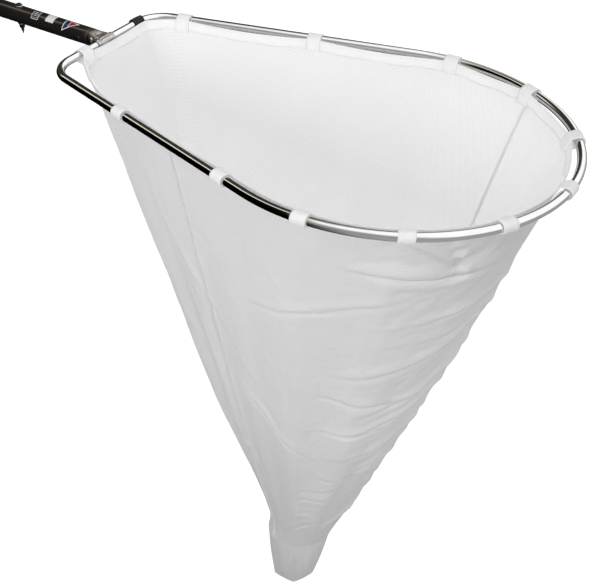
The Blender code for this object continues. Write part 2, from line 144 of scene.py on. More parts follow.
def grid(name, rows, wrap_rows=False, wrap_columns=False, caps=False, sharp_degrees=None,
         flip=False, centred=False):
    """A quad grid over rows[i][j], with UVs measured along the rows (v) and across them (u).

    centred measures u from the middle of each row, as on a tapered panel cut from straight-woven cloth.
    """
    p = np.asarray(rows, float)
    r, c = p.shape[:2]
    across = np.vstack([arc_lengths(np.vstack([row, row[:1]])) for row in p])
    if centred:
        across = across - across[:, c // 2][:, None]
    columns = np.concatenate([p, p[:1]])
    down = np.concatenate([[0.0], np.cumsum(np.linalg.norm(np.diff(columns, axis=0), axis=2).mean(axis=1))])
    faces = []
    uvs = []
    for i in range(r if wrap_rows else r - 1):
        i2 = (i + 1) % r
        for j in range(c if wrap_columns else c - 1):
            j2 = (j + 1) % c
            quad = [(i, j, 0, 0), (i, j2, 0, 1), (i2, j2, 1, 1), (i2, j, 1, 0)]
            if flip:
                quad.reverse()
            faces.append([a * c + b for a, b, _, _ in quad])
            for a, b, next_row, next_column in quad:
                uvs.append((across[a][j + next_column], down[i + next_row]))
    if caps and wrap_columns:
        ends = [list(range(c)), [(r - 1) * c + j for j in reversed(range(c))]]
        if not flip:
            ends = [list(reversed(end)) for end in ends]
        for end in ends:
            faces.append(end)
            uvs.extend([(p[k // c][k % c][0], p[k // c][k % c][1]) for k in end])
    return add_mesh(name, p.reshape(-1, 3), faces, uvs, sharp_degrees=sharp_degrees)


def turns(count):
    """Angles of evenly spaced points round a circle."""
    return np.linspace(0.0, 2.0 * math.pi, count, endpoint=False)


def directions(side, other, count):
    """Unit directions round a circle, from side towards other."""
    return np.cos(turns(count))[:, None] * side + np.sin(turns(count))[:, None] * other


def turned(name, profile, steps, origin, axis, sharp_degrees=40.0, ring=False):
    """A turned solid from (radius, height) points along axis.  A ring's profile is a closed outline."""
    axis = unit(axis)
    side = unit(np.cross(axis, UP if abs(axis[2]) < 0.9 else np.array([1.0, 0.0, 0.0])))
    around = directions(side, np.cross(axis, side), steps)
    rows = [np.asarray(origin) + height * axis + radius * around for radius, height in profile]
    return grid(name, rows, wrap_rows=ring, wrap_columns=True, caps=not ring, sharp_degrees=sharp_degrees)


def sweep(name, path, side, normal, outline):
    """A closed solid: the outline of (side, normal) points carried along the path."""
    rows = [p + np.outer([u for u, _ in outline], a) + np.outer([v for _, v in outline], n)
            for p, a, n in zip(path, side, normal)]
    return grid(name, rows, wrap_columns=True, caps=True)


def strip_outline(width, thickness, steps=8):
    """A flat strip's section with softened edges, counter-clockwise."""
    top = []
    for k in range(steps + 1):
        a = k / steps - 0.5
        edge = 1.0 - 0.6 * max(0.0, (abs(a) - 0.42) / 0.08)
        top.append((a * width, thickness / 2.0 * edge))
    return top[::-1] + [(u, -v) for u, v in top]


def stitches(name, runs, pitch=4.6 * MM, length=3.1 * MM, radius=0.36 * MM):
    """Rows of thread stitches, each a small lozenge lying on the cloth.  A run is (points, normals)."""
    verts = []
    faces = []
    for points, normals in runs:
        station = arc_lengths(points)
        for k in range(int(station[-1] // pitch)):
            at = (k + 0.5) * pitch
            ends = [np.array([np.interp(at + d, station, points[:, c]) for c in range(3)])
                    for d in (-length / 2.0, 0.0, length / 2.0)]
            lift = unit([np.interp(at, station, normals[:, c]) for c in range(3)])
            across = unit(np.cross(ends[2] - ends[0], lift))
            base = len(verts)
            verts += [ends[0], ends[2], ends[1] + across * radius, ends[1] - across * radius,
                      ends[1] + lift * radius * 1.3, ends[1] - lift * radius]
            for a, b in ((4, 2), (2, 5), (5, 3), (3, 4)):
                faces += [(base, base + b, base + a), (base + 1, base + a, base + b)]
    return add_mesh(name, verts, faces)


def apply_modifiers(obj):
    """Gives the object its modified shape for good."""
    bpy.context.view_layer.update()
    evaluated = obj.evaluated_get(bpy.context.evaluated_depsgraph_get())
    result = bpy.data.meshes.new_from_object(evaluated)
    obj.modifiers.clear()
    obj.data = result
    result.name = obj.name


def voxel_rounded(name, node, voxel, smoothing, ripple=0.0):
    """A finer, softly rounded copy of a CAD node, as a casting has, with a little surface ripple."""
    source = bpy.data.objects[node]
    mesh = source.data.copy()
    mesh.transform(source.matrix_world)
    obj = bpy.data.objects.new(name, mesh)
    bpy.context.scene.collection.objects.link(obj)
    weld = obj.modifiers.new("weld", "WELD")
    weld.merge_threshold = 0.00002
    remesh = obj.modifiers.new("remesh", "REMESH")
    remesh.mode = "VOXEL"
    remesh.voxel_size = voxel
    soften = obj.modifiers.new("soften", "SMOOTH")
    soften.factor = 0.5
    soften.iterations = smoothing
    if ripple:
        clouds = bpy.data.textures.new(name, "CLOUDS")
        clouds.noise_scale = 0.004
        dents = obj.modifiers.new("dents", "DISPLACE")
        dents.texture = clouds
        dents.texture_coords = "LOCAL"
        dents.strength = ripple
        dents.mid_level = 0.5
    apply_modifiers(obj)
    obj.data.shade_smooth()
    return obj


def cut_away(obj, cutter):
    """Takes the cutter's shape out of the object, and removes the cutter."""
    change = obj.modifiers.new("cut", "BOOLEAN")
    change.object = cutter
    change.operation = "DIFFERENCE"
    change.solver = "EXACT"
    apply_modifiers(obj)
    bpy.data.objects.remove(cutter, do_unlink=True)


def finish_piece(obj, mat, body, nodes=()):
    obj.data.materials.clear()
    obj.data.materials.append(mat)
    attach(obj, body)
    if nodes:
        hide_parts(*nodes)
    return obj


# ---------------------------------------------------------------- hoop centreline
def side_slope():
    centre_y = BAR_HALF_WIDTH - CORNER_RADIUS
    low, high = 0.0, 1.0
    for _ in range(40):
        slope = (low + high) / 2.0
        height = math.sqrt((slope * END_LENGTH) ** 2 + HOOP_HALF_WIDTH ** 2)
        across = slope * (CORNER_RADIUS - END_CENTRE) + height - centre_y
        if across > CORNER_RADIUS * math.sqrt(1.0 + slope * slope):
            low = slope
        else:
            high = slope
    return low


def hoop_line(count=720):
    """Even points of the closed centreline, from the middle of the bar by the +Y side and the tip."""
    slope = side_slope()
    centre_y = BAR_HALF_WIDTH - CORNER_RADIUS
    corner = np.linspace(0.0, math.pi / 2.0 - math.atan(slope), 40)
    bar = np.array([[BAR_X, 0.0]])
    arc = np.stack([BAR_X + CORNER_RADIUS * (1.0 - np.cos(corner)),
                    centre_y + CORNER_RADIUS * np.sin(corner)], axis=1)
    start = math.atan(-END_LENGTH * slope / HOOP_HALF_WIDTH)
    end = np.linspace(start, math.pi / 2.0, 160)
    ellipse = np.stack([BAR_X + END_CENTRE + END_LENGTH * np.sin(end),
                        HOOP_HALF_WIDTH * np.cos(end)], axis=1)
    half = np.vstack([bar, arc, ellipse])
    whole = np.vstack([half, half[-2:0:-1] * [1.0, -1.0]])
    flat = resample(whole, count, closed=True)
    return np.hstack([flat, np.zeros((count, 1))])


HOOP = hoop_line()
HOOP_TANGENT = unit(np.roll(HOOP, -1, axis=0) - np.roll(HOOP, 1, axis=0))
HOOP_INWARD = np.stack([HOOP_TANGENT[:, 1], -HOOP_TANGENT[:, 0], np.zeros(len(HOOP))], axis=1)
HOOP_STATION = arc_lengths(np.vstack([HOOP, HOOP[:1]]))


def along_hoop(station):
    """Centre, tangent and inward direction at a distance along the hoop."""
    station = station % HOOP_STATION[-1]
    loop = [np.vstack([a, a[:1]]) for a in (HOOP, HOOP_TANGENT, HOOP_INWARD)]
    point, tangent, inward = (
        np.array([np.interp(station, HOOP_STATION, a[:, k]) for k in range(3)]) for a in loop)
    return point, unit(tangent), unit(inward)


def node_middle(node):
    low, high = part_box(node)
    return (np.array(low) + np.array(high)) / 2.0


def node_station(node):
    """How far along the hoop a CAD node sits."""
    nearest = np.argmin(np.linalg.norm(HOOP[:, :2] - node_middle(node)[:2], axis=1))
    return HOOP_STATION[nearest]


def node_place(node):
    """Centre, tangent and inward direction of a CAD node that sits round the hoop tube."""
    return along_hoop(node_station(node))


# ---------------------------------------------------------------- materials
WAVE_UNIT = 0.3142          # a Wave texture of scale 1 repeats after this many metres
RIB = 1.6 * MM              # spacing of the ribs in white webbing
NET_CELL = 2.2 * MM         # spacing of the threads in the net
WEBBING_PAINTED_GLOW = 0.16         # painted glow: white webbing gives off light of its own so that it looks brighter


class Tree:
    """Builds a node tree.  An input takes a number, a colour or another node's output."""

    def __init__(self, tree):
        self.tree = tree

    def put(self, socket, value):
        if isinstance(value, bpy.types.NodeSocket):
            self.tree.links.new(value, socket)
        elif socket.type == "RGBA" and len(value) == 3:
            socket.default_value = (*value, 1.0)
        else:
            socket.default_value = value

    def add(self, kind, *inputs, **settings):
        """A node with its properties and named inputs set, and its first inputs in order."""
        node = self.tree.nodes.new(kind)
        for key, value in settings.items():
            if hasattr(node, key):
                setattr(node, key, value)
            else:
                self.put(node.inputs[key.replace("_", " ")], value)
        for socket, value in zip(node.inputs, inputs):
            self.put(socket, value)
        return node

    def math(self, operation, a, b):
        return self.add("ShaderNodeMath", a, b, operation=operation).outputs[0]

    def mix(self, factor, a, b):
        node = self.add("ShaderNodeMix", factor, data_type="RGBA")
        self.put(node.inputs[6], a)
        self.put(node.inputs[7], b)
        return node.outputs[2]


class Nodes(Tree):
    """Builds one material's node tree."""

    def __init__(self, name):
        self.material = bpy.data.materials.new(name)
        self.material.use_nodes = True
        super().__init__(self.material.node_tree)
        self.shader = self.tree.nodes["Principled BSDF"]

    def set(self, **values):
        """Fills the shader's own inputs."""
        for key, value in values.items():
            self.put(self.shader.inputs[key.replace("_", " ")], value)

    def surface(self, shader):
        self.put(self.tree.nodes["Material Output"].inputs["Surface"], shader)

    def metres(self, scale=(1.0, 1.0, 1.0), uv=True):
        """Coordinates in metres: along the piece's UV map, or in space for CAD nodes."""
        if uv:
            source = self.add("ShaderNodeUVMap", uv_map="metres").outputs["UV"]
        else:
            source = self.add("ShaderNodeTexCoord").outputs["Object"]
        return self.add("ShaderNodeMapping", Vector=source, Scale=scale).outputs["Vector"]

    def noise(self, vector, scale, detail=3.0, roughness=0.55):
        return self.add("ShaderNodeTexNoise", Vector=vector, Scale=scale, Detail=detail,
                        Roughness=roughness).outputs["Fac"]

    def wave(self, vector, scale, direction, distortion):
        return self.add("ShaderNodeTexWave", bands_direction=direction, wave_profile="SIN", Vector=vector,
                        Scale=scale, Distortion=distortion, Detail=1.0).outputs["Fac"]

    def ramp(self, value, stops):
        node = self.add("ShaderNodeValToRGB", value)
        for element, (position, colour) in zip(node.color_ramp.elements, stops):
            element.position = position
            element.color = (*colour, 1.0)
        return node.outputs["Color"]

    def grey_ramp(self, value, low, high, start=0.0, stop=1.0):
        return self.ramp(value, [(start, (low,) * 3), (stop, (high,) * 3)])

    def patches(self, vector, scale, detail, start, stop, roughness=0.55):
        """A mask that is white where the noise is strong."""
        return self.grey_ramp(self.noise(vector, scale, detail, roughness), 0.0, 1.0, start, stop)

    def bump(self, height, strength, distance):
        node = self.add("ShaderNodeBump", Height=height, Strength=strength, Distance=distance)
        self.set(Normal=node.outputs["Normal"])

    def roughness(self, value, span, base):
        """Roughness that rises from base by span with the value."""
        self.set(Roughness=self.math("ADD", self.math("MULTIPLY", value, span), base))

    def fade(self, axis, start, stop, reach=1.0):
        """A value that rises from 0 at start to reach at stop along one of the object's axes."""
        place = self.add("ShaderNodeSeparateXYZ", self.add("ShaderNodeTexCoord").outputs["Object"])
        return self.add("ShaderNodeMapRange", Value=place.outputs[axis], From_Min=start, From_Max=stop,
                        To_Max=reach).outputs[0]

    def blend(self, share, a, b):
        """A shader mixed from shaders a and b."""
        return self.add("ShaderNodeMixShader", share, a, b).outputs[0]

    def cloth(self, share, colour):
        """The shader, with a share of the light coming through it in the given colour."""
        through = self.add("ShaderNodeBsdfTranslucent", Color=colour)
        return self.blend(share, self.shader.outputs[0], through.outputs[0])


def bright_tube_material():
    """Polished aluminium tube with fine lines drawn along it, faint cloudiness and a few scuffs."""
    m = Nodes("bright_tube")
    m.set(Metallic=1.0)
    lines = m.noise(m.metres((900.0, 9.0, 1.0)), 1.0, detail=4.0)
    cloud = m.noise(m.metres(), 28.0, detail=2.0)
    scuff_mask = m.patches(m.metres((260.0, 60.0, 1.0)), 1.0, 5.0, 0.60, 0.72, roughness=0.7)
    colour = m.ramp(cloud, [(0.25, (0.70, 0.70, 0.70)), (0.75, (0.79, 0.79, 0.785))])
    m.set(Base_Color=m.mix(m.math("MULTIPLY", scuff_mask, 0.35), colour, (0.48, 0.48, 0.48)))
    rough = m.math("ADD", m.math("MULTIPLY", lines, 0.07), m.math("MULTIPLY", scuff_mask, 0.12))
    m.set(Roughness=m.math("ADD", rough, 0.08))
    m.bump(lines, 0.12, 0.00012)
    return m.material


def dull_metal_material(uv=False, name="dull_metal", low=0.30, high=0.50):
    """Satin aluminium, slightly blotched."""
    m = Nodes(name)
    m.set(Metallic=1.0)
    where = m.metres(uv=uv)
    blotch = m.noise(where, 180.0, detail=4.0)
    grain = m.noise(where, 2400.0, detail=2.0)
    m.set(Base_Color=m.ramp(blotch, [(0.3, (low, low * 0.98, low * 0.96)),
                                     (0.7, (high, high * 0.99, high * 0.97))]))
    m.roughness(blotch, 0.25, 0.28)
    m.bump(grain, 0.25, 0.00015)
    return m.material


def cast_material():
    """The yoke: grey cast metal, darker and oxidised towards the socket, rippled where it was worked."""
    m = Nodes("cast_joint")
    m.set(Metallic=1.0)
    where = m.metres(uv=False)
    blotch = m.noise(where, 130.0, detail=5.0)
    ripple = m.noise(where, 520.0, detail=3.0)
    bright = m.ramp(blotch, [(0.3, (0.40, 0.385, 0.37)), (0.7, (0.66, 0.64, 0.62))])
    dark = m.ramp(blotch, [(0.3, (0.05, 0.047, 0.044)), (0.7, (0.11, 0.10, 0.095))])
    m.set(Base_Color=m.mix(m.fade("X", BAR_X - 0.026, BAR_X - 0.014), dark, bright))
    m.roughness(blotch, 0.22, 0.24)
    m.bump(m.math("ADD", ripple, m.math("MULTIPLY", blotch, 0.6)), 0.5, 0.0006)
    return m.material


def gunmetal_material():
    """Dark glossy anodised tube with fine turning lines and rubbed patches."""
    m = Nodes("gunmetal")
    m.set(Metallic=0.85, Coat_Weight=0.35, Coat_Roughness=0.16)
    lines = m.noise(m.metres((700.0, 12.0, 1.0)), 1.0, detail=4.0)
    patch = m.noise(m.metres((14.0, 14.0, 1.0)), 1.0, detail=4.0)
    wear = m.patches(m.metres((90.0, 55.0, 1.0)), 1.0, 6.0, 0.62, 0.74, roughness=0.7)
    base = m.ramp(patch, [(0.3, (0.060, 0.054, 0.048)), (0.7, (0.105, 0.096, 0.086))])
    m.set(Base_Color=m.mix(m.math("MULTIPLY", wear, 0.4), base, (0.20, 0.19, 0.18)))
    m.roughness(lines, 0.12, 0.18)
    m.bump(lines, 0.15, 0.00015)
    return m.material


def black_metal_material():
    """Blackened steel, rubbed grey where fingers and spanners touch it."""
    m = Nodes("black_metal")
    m.set(Metallic=0.5, Coat_Weight=0.2, Coat_Roughness=0.3)
    where = m.metres(uv=False)
    grain = m.noise(where, 900.0, detail=3.0)
    rub = m.patches(where, 260.0, 5.0, 0.58, 0.72)
    m.set(Base_Color=m.mix(m.math("MULTIPLY", rub, 0.5), (0.014, 0.014, 0.015), (0.09, 0.088, 0.085)))
    m.roughness(grain, 0.2, 0.32)
    m.bump(grain, 0.3, 0.0002)
    return m.material


def zinc_material():
    """Galvanised washers with a faint crystal pattern."""
    m = Nodes("zinc")
    m.set(Metallic=1.0)
    where = m.metres(uv=False)
    crystals = m.add("ShaderNodeTexVoronoi", Vector=where, Scale=700.0).outputs["Distance"]
    m.set(Base_Color=m.ramp(crystals, [(0.0, (0.76, 0.77, 0.78)), (0.9, (0.58, 0.59, 0.61))]))
    m.roughness(crystals, 0.2, 0.22)
    return m.material


def sticker_material(name, colour, shade):
    """Printed vinyl: a soft gloss, slightly mottled ink and fine scratches."""
    m = Nodes(name)
    m.set(Specular_IOR_Level=0.5, Coat_Weight=0.15, Coat_Roughness=0.2)
    where = m.metres()
    ink = m.noise(where, 420.0, detail=4.0)
    scratch = m.noise(m.metres((1600.0, 220.0, 1.0)), 1.0, detail=5.0, roughness=0.7)
    m.set(Base_Color=m.mix(m.grey_ramp(ink, 0.0, 1.0, 0.4, 0.75), colour, shade))
    m.roughness(scratch, 0.25, 0.25)
    m.bump(scratch, 0.15, 0.00008)
    return m.material


def webbing_material(name="white_webbing", pale=(0.93, 0.93, 0.925), shade=(0.84, 0.84, 0.84), rib=RIB,
                     glow=0.35, painted_glow=WEBBING_PAINTED_GLOW):
    """Woven tape: ribs across it, threads along it and soft soiling.  Light glows through white tape, and
    white tape also has a painted glow: it emits light of its own to look brighter.
    """
    m = Nodes(name)
    m.set(Sheen_Weight=0.25, Sheen_Roughness=0.5, Specular_IOR_Level=0.25)
    where = m.metres()
    ribs = m.wave(where, WAVE_UNIT / rib, direction="Y", distortion=0.6)
    threads = m.wave(where, WAVE_UNIT / (rib * 0.45), direction="X", distortion=0.8)
    soil = m.noise(where, 55.0, detail=5.0, roughness=0.65)
    weave = m.math("ADD", m.math("MULTIPLY", ribs, 0.7), m.math("MULTIPLY", threads, 0.3))
    tint = m.mix(m.grey_ramp(weave, 0.0, 1.0, 0.1, 0.7), shade, pale)
    dirty = tuple(c * 0.95 for c in pale)
    colour = m.mix(m.grey_ramp(soil, 0.0, 0.6, 0.45, 0.75), tint, dirty)
    m.set(Base_Color=colour)
    m.roughness(weave, 0.12, 0.72)
    m.bump(weave, 0.55, 0.0004)
    if glow:
        # painted glow: the tape emits a little light of its own, so it reads brighter
        m.set(Emission_Color=(0.95, 0.97, 1.0), Emission_Strength=painted_glow)
        m.surface(m.cloth(glow, colour))
    return m.material


def thread_material():
    """Twisted polyester thread."""
    m = Nodes("thread")
    m.set(Sheen_Weight=0.2, Specular_IOR_Level=0.3)
    where = m.metres(uv=False)
    fuzz = m.noise(where, 1800.0, detail=3.0)
    m.set(Base_Color=m.ramp(fuzz, [(0.3, (0.82, 0.82, 0.82)), (0.7, (0.93, 0.93, 0.925))]))
    m.roughness(fuzz, 0.2, 0.6)
    m.bump(fuzz, 0.4, 0.0001)
    return m.material


def net_material():
    """Fine woven mesh: pale threads with open cells that let a little of what is behind show through."""
    m = Nodes("white_net")
    m.set(Roughness=0.62, Sheen_Weight=0.2, Sheen_Roughness=0.6, Specular_IOR_Level=0.2)
    where = m.metres()
    warp = m.wave(where, WAVE_UNIT / NET_CELL, direction="X", distortion=0.25)
    weft = m.wave(where, WAVE_UNIT / NET_CELL, direction="Y", distortion=0.25)
    thread = m.math("MAXIMUM", warp, weft)
    drift = m.noise(where, 9.0, detail=4.0, roughness=0.6)
    fine = m.noise(where, 60.0, detail=3.0)
    base = m.mix(m.grey_ramp(drift, 0.0, 1.0, 0.3, 0.7), (0.87, 0.87, 0.885), (0.91, 0.91, 0.915))
    shaded = m.mix(m.grey_ramp(thread, 0.26, 0.0, 0.2, 0.8), base, (0.70, 0.70, 0.72))
    # the net's colour and the light through it are drawn darker towards the bottom of the bag
    darker_lower_down = m.fade("Z", -0.45, -1.10, 0.55)
    mesh = m.mix(m.grey_ramp(fine, 0.0, 0.10, 0.4, 0.7), shaded, (0.80, 0.80, 0.81))
    m.set(Base_Color=m.mix(darker_lower_down, mesh, (0.60, 0.60, 0.61)))
    m.bump(thread, 0.25, 0.0002)
    cloth = m.cloth(0.36, m.mix(darker_lower_down, (0.92, 0.92, 0.93), (0.62, 0.62, 0.63)))
    openness = m.grey_ramp(thread, 0.28, 0.04, 0.25, 0.85)
    clear = m.add("ShaderNodeBsdfTransparent").outputs[0]
    m.surface(m.blend(openness, cloth, clear))
    return m.material


MATERIALS = {
    "bright_tube": bright_tube_material(),
    "dull_metal": dull_metal_material(),
    "sleeve_metal": dull_metal_material(uv=True, name="sleeve_metal", low=0.34, high=0.66),
    "dark_rivet": dull_metal_material(name="dark_rivet", low=0.05, high=0.10),
    "cast_joint": cast_material(),
    "gunmetal": gunmetal_material(),
    "black_metal": black_metal_material(),
    "zinc": zinc_material(),
    "sticker_white": sticker_material("sticker_white", (0.74, 0.74, 0.73), (0.66, 0.66, 0.66)),
    "sticker_silver": sticker_material("sticker_silver", (0.66, 0.67, 0.69), (0.78, 0.79, 0.80)),
    "sticker_black": sticker_material("sticker_black", (0.016, 0.016, 0.018), (0.035, 0.034, 0.036)),
    "sticker_crimson": sticker_material("sticker_crimson", (0.33, 0.010, 0.040), (0.26, 0.010, 0.034)),
    "sticker_blue": sticker_material("sticker_blue", (0.010, 0.016, 0.060), (0.014, 0.022, 0.080)),
    "white_webbing": webbing_material(),
    # the seam tape's last number is its painted glow, a little light of its own
    "seam_tape": webbing_material("seam_tape", (0.90, 0.90, 0.905), (0.83, 0.83, 0.84), 0.0011, 0.60, 0.08),
    "black_webbing": webbing_material("black_webbing", (0.028, 0.028, 0.029), (0.010, 0.010, 0.010),
                                      0.0040, 0.0),
    "thread": thread_material(),
    "white_net": net_material(),
}


# ---------------------------------------------------------------- hoop
def make_hoop():
    """The bent tube, round and smooth.  Its two ends meet under the splice sleeve."""
    sides = 28
    rows = [centre + TUBE_RADIUS * directions(inward, UP, sides) for centre, inward in zip(HOOP, HOOP_INWARD)]
    hoop = grid("hoop", rows, wrap_rows=True, wrap_columns=True, flip=True)
    return finish_piece(hoop, MATERIALS["bright_tube"], "net", ["hoop_tube"])


make_hoop()


# ---------------------------------------------------------------- joint, socket and splice
def dress_cad_nodes():
    """The hidden dowel and the small rivets keep their CAD shape and get finished materials."""
    looks = {
        "splice_dowel": "dull_metal", "splice_rivet_near": "dull_metal", "splice_rivet_far": "dull_metal",
        "socket_rivet_near": "dark_rivet", "socket_rivet_far": "dark_rivet",
    }
    for node, look in looks.items():
        for slot in bpy.data.objects[node].material_slots:
            slot.material = MATERIALS[look]


def rod(name, radius, start, end, steps=32):
    """A plain closed rod, used only to cut with."""
    start = np.asarray(start, float)
    length = np.linalg.norm(np.asarray(end) - start)
    return turned(name, [(radius, 0.0), (radius, length)], steps, start, np.asarray(end) - start)


def make_socket():
    """The pole socket: a round tube with eased edges, drilled for its bolt and rivets."""
    low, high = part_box("socket_tube")
    wall = 1.5 * MM
    inner = SOCKET_RADIUS - wall
    ease = 0.45 * MM
    outline = [(inner, low[0] + ease), (inner + ease, low[0])]
    outline += [(SOCKET_RADIUS - ease, low[0]), (SOCKET_RADIUS - ease * 0.3, low[0] + ease * 0.3)]
    outline += [(SOCKET_RADIUS, x) for x in np.linspace(low[0] + ease, high[0] - ease, 24)]
    outline += [(SOCKET_RADIUS - ease * 0.3, high[0] - ease * 0.3), (SOCKET_RADIUS - ease, high[0])]
    outline += [(inner + ease, high[0]), (inner, high[0] - ease)]
    outline += [(inner, x) for x in np.linspace(high[0] - ease, low[0] + ease, 24)[1:-1]]
    tube = turned("socket", outline, 64, (0.0, 0.0, 0.0), (1.0, 0.0, 0.0), 60.0, ring=True)
    bolt_x = node_middle("lock_bolt")[0]
    rivet_x = node_middle("socket_rivet_near")[0]
    cut_away(tube, rod("bolt_drill", 2.8 * MM, (bolt_x, 0.0, -0.02), (bolt_x, 0.0, 0.02)))
    cut_away(tube, rod("rivet_drill", 1.9 * MM, (rivet_x, -0.02, 0.0), (rivet_x, 0.02, 0.0)))
    tube.data.shade_smooth()
    tube.data.set_sharp_from_angle(angle=math.radians(40.0))
    finish_piece(tube, MATERIALS["gunmetal"], "net", ["socket_tube"])


def make_yoke():
    """The cast joint, with softened corners and the dents left from closing it on the bar."""
    yoke = voxel_rounded("cast_yoke", "yoke", 0.75 * MM, 6, ripple=0.5 * MM)
    finish_piece(yoke, MATERIALS["cast_joint"], "net", ["yoke"])


def make_sleeve():
    """The splice sleeve: a tube dimpled by crimping, with rolled ends."""
    low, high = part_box("splice_sleeve")
    outer = (high[2] - low[2]) / 2.0
    inner = TUBE_RADIUS + 0.3 * MM
    rng = np.random.default_rng(21)
    count = 64
    angles = turns(count)
    dents = [(rng.uniform(low[1] + 3 * MM, high[1] - 3 * MM), rng.uniform(0.0, 2.0 * math.pi),
              rng.uniform(1.0, 1.8) * MM, rng.uniform(0.25, 0.55) * MM) for _ in range(46)]
    stations = np.linspace(low[1] + 0.5 * MM, high[1] - 0.5 * MM, 60)
    profile = [(inner, low[1] + 0.5 * MM), (inner + 0.4 * MM, low[1]), (outer - 0.5 * MM, low[1])]
    profile += [(outer, y) for y in stations]
    profile += [(outer - 0.5 * MM, high[1]), (inner + 0.4 * MM, high[1]), (inner, high[1] - 0.5 * MM)]
    rows = []
    for radius, y in profile:
        around = np.full(count, radius)
        if radius == outer:
            for at, turn, size, depth in dents:
                gap = np.abs((angles - turn + math.pi) % (2.0 * math.pi) - math.pi) * outer
                around = around - depth * np.exp(-((y - at) ** 2 + gap ** 2) / (2.0 * (size / 1.6) ** 2))
        around = np.maximum(around, inner + 0.25 * MM) if radius > inner else around
        ring = [BAR_X + around * np.cos(angles), np.full(count, y), around * np.sin(angles)]
        rows.append(np.stack(ring, axis=1))
    sleeve = grid("crimped_sleeve", rows, wrap_rows=True, wrap_columns=True, sharp_degrees=50.0, flip=True)
    finish_piece(sleeve, MATERIALS["sleeve_metal"], "net", ["splice_sleeve"])


dress_cad_nodes()
make_socket()
make_yoke()
make_sleeve()


# ---------------------------------------------------------------- locking bolt and nut
def make_bolt():
    """A dome-headed bolt with a six-sided recess and a cut thread below."""
    low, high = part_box("lock_bolt")
    axis_x = node_middle("lock_bolt")[0]
    head_radius = (high[0] - low[0]) / 2.0
    seat = high[2] - 3.2 * MM
    shank = 2.5 * MM
    angles = turns(48)
    pitch = 0.8 * MM

    def ring(radius, z):
        return np.stack([axis_x + radius * np.cos(angles), radius * np.sin(angles), np.full(48, z)], axis=1)

    rows = []
    for z in np.linspace(low[2], seat - 8.0 * MM, 190):
        phase = ((z - low[2]) / pitch - angles / (2.0 * math.pi)) % 1.0
        cut = np.abs(phase - 0.5) * 2.0
        radius = shank - 0.38 * MM * np.clip(cut * 1.3 - 0.15, 0.0, 1.0)
        radius = np.minimum(radius, shank - 0.6 * MM + (z - low[2]) * 0.9)
        rows.append(ring(radius, z))
    curve = [(shank, seat - 7.6 * MM), (shank, seat), (head_radius * 0.97, seat),
             (head_radius, seat + 0.25 * MM), (head_radius, seat + 1.1 * MM)]
    for t in np.linspace(0.1, 1.0, 10):
        curve.append((head_radius * math.cos(t * math.pi / 2.0) ** 0.75,
                      seat + 1.1 * MM + 2.1 * MM * math.sin(t * math.pi / 2.0)))
    rows += [ring(max(radius, 0.02 * MM), z) for radius, z in curve]
    bolt = grid("threaded_bolt", rows, wrap_columns=True, caps=True, sharp_degrees=35.0)
    recess = turned("hex_cutter", [(1.7 * MM, 0.0), (1.7 * MM, 6.0 * MM)], 6,
                    (axis_x, 0.0, seat + 1.3 * MM), (0.0, 0.0, 1.0))
    cut_away(bolt, recess)
    bolt.data.set_sharp_from_angle(angle=math.radians(35.0))
    finish_piece(bolt, MATERIALS["black_metal"], "lock_bolt", ["lock_bolt"])


def make_washer(node, body):
    low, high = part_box(node)
    outer = (high[0] - low[0]) / 2.0
    inner = 2.8 * MM
    edge = 0.25 * MM
    bottom, top = low[2], high[2]
    outline = [(inner, bottom + edge), (inner + edge, bottom), (outer - edge, bottom), (outer, bottom + edge),
               (outer, top - edge), (outer - edge, top), (inner + edge, top), (inner, top - edge)]
    origin = node_middle(node) * [1.0, 1.0, 0.0]
    washer = turned(node + "_turned", outline, 48, origin, (0.0, 0.0, 1.0), 60.0, ring=True)
    finish_piece(washer, MATERIALS["zinc"], body, [node])


def make_wing_nut():
    nut = voxel_rounded("cast_wing_nut", "wing_nut", 0.33 * MM, 5)
    finish_piece(nut, MATERIALS["black_metal"], "wing_nut", ["wing_nut"])


make_bolt()
make_washer("bolt_washer", "net")
make_washer("nut_washer", "nut_washer")
make_wing_nut()


# ---------------------------------------------------------------- stickers
LABEL_ARCS = {"label_square": 76.0, "label_plain": 66.0, "label_pennant": 93.0}   # degrees round the socket
LABEL_FAR_EDGE = math.radians(15.0)      # how far past the top of the tube each one reaches, on the +Y side


def sticker(name, xs, low_edge, high_edge, lift, look, nodes=(), thickness=0.09 * MM):
    """A thin patch curved over the socket.  Its edges are distances round the tube from the far edge."""
    columns = 25
    rows = []
    for x, low, high in zip(xs, low_edge, high_edge):
        row = []
        for radius, order in ((SOCKET_RADIUS + lift + thickness, 1), (SOCKET_RADIUS + lift, -1)):
            turn = np.linspace(high, low, columns)[::order] / SOCKET_RADIUS - LABEL_FAR_EDGE
            row.append(np.stack([np.full(columns, x), -radius * np.sin(turn), radius * np.cos(turn)], axis=1))
        rows.append(np.vstack(row))
    patch = grid(name, rows, wrap_columns=True, caps=True, sharp_degrees=50.0, flip=True)
    return finish_piece(patch, MATERIALS[look], "net", nodes)


def rounded_block(name, x0, x1, low, high, corner, lift, look, nodes=()):
    bend = corner * (1.0 - np.cos(np.linspace(0.0, math.pi / 2.0, 7)))
    xs = np.unique(np.concatenate([x0 + bend, x1 - bend]))
    nearest = np.minimum(xs - x0, x1 - xs)
    drop = corner - np.sqrt(np.maximum(corner ** 2 - np.maximum(corner - nearest, 0.0) ** 2, 0.0))
    return sticker(name, xs, low + drop, high - drop, lift, look, nodes)


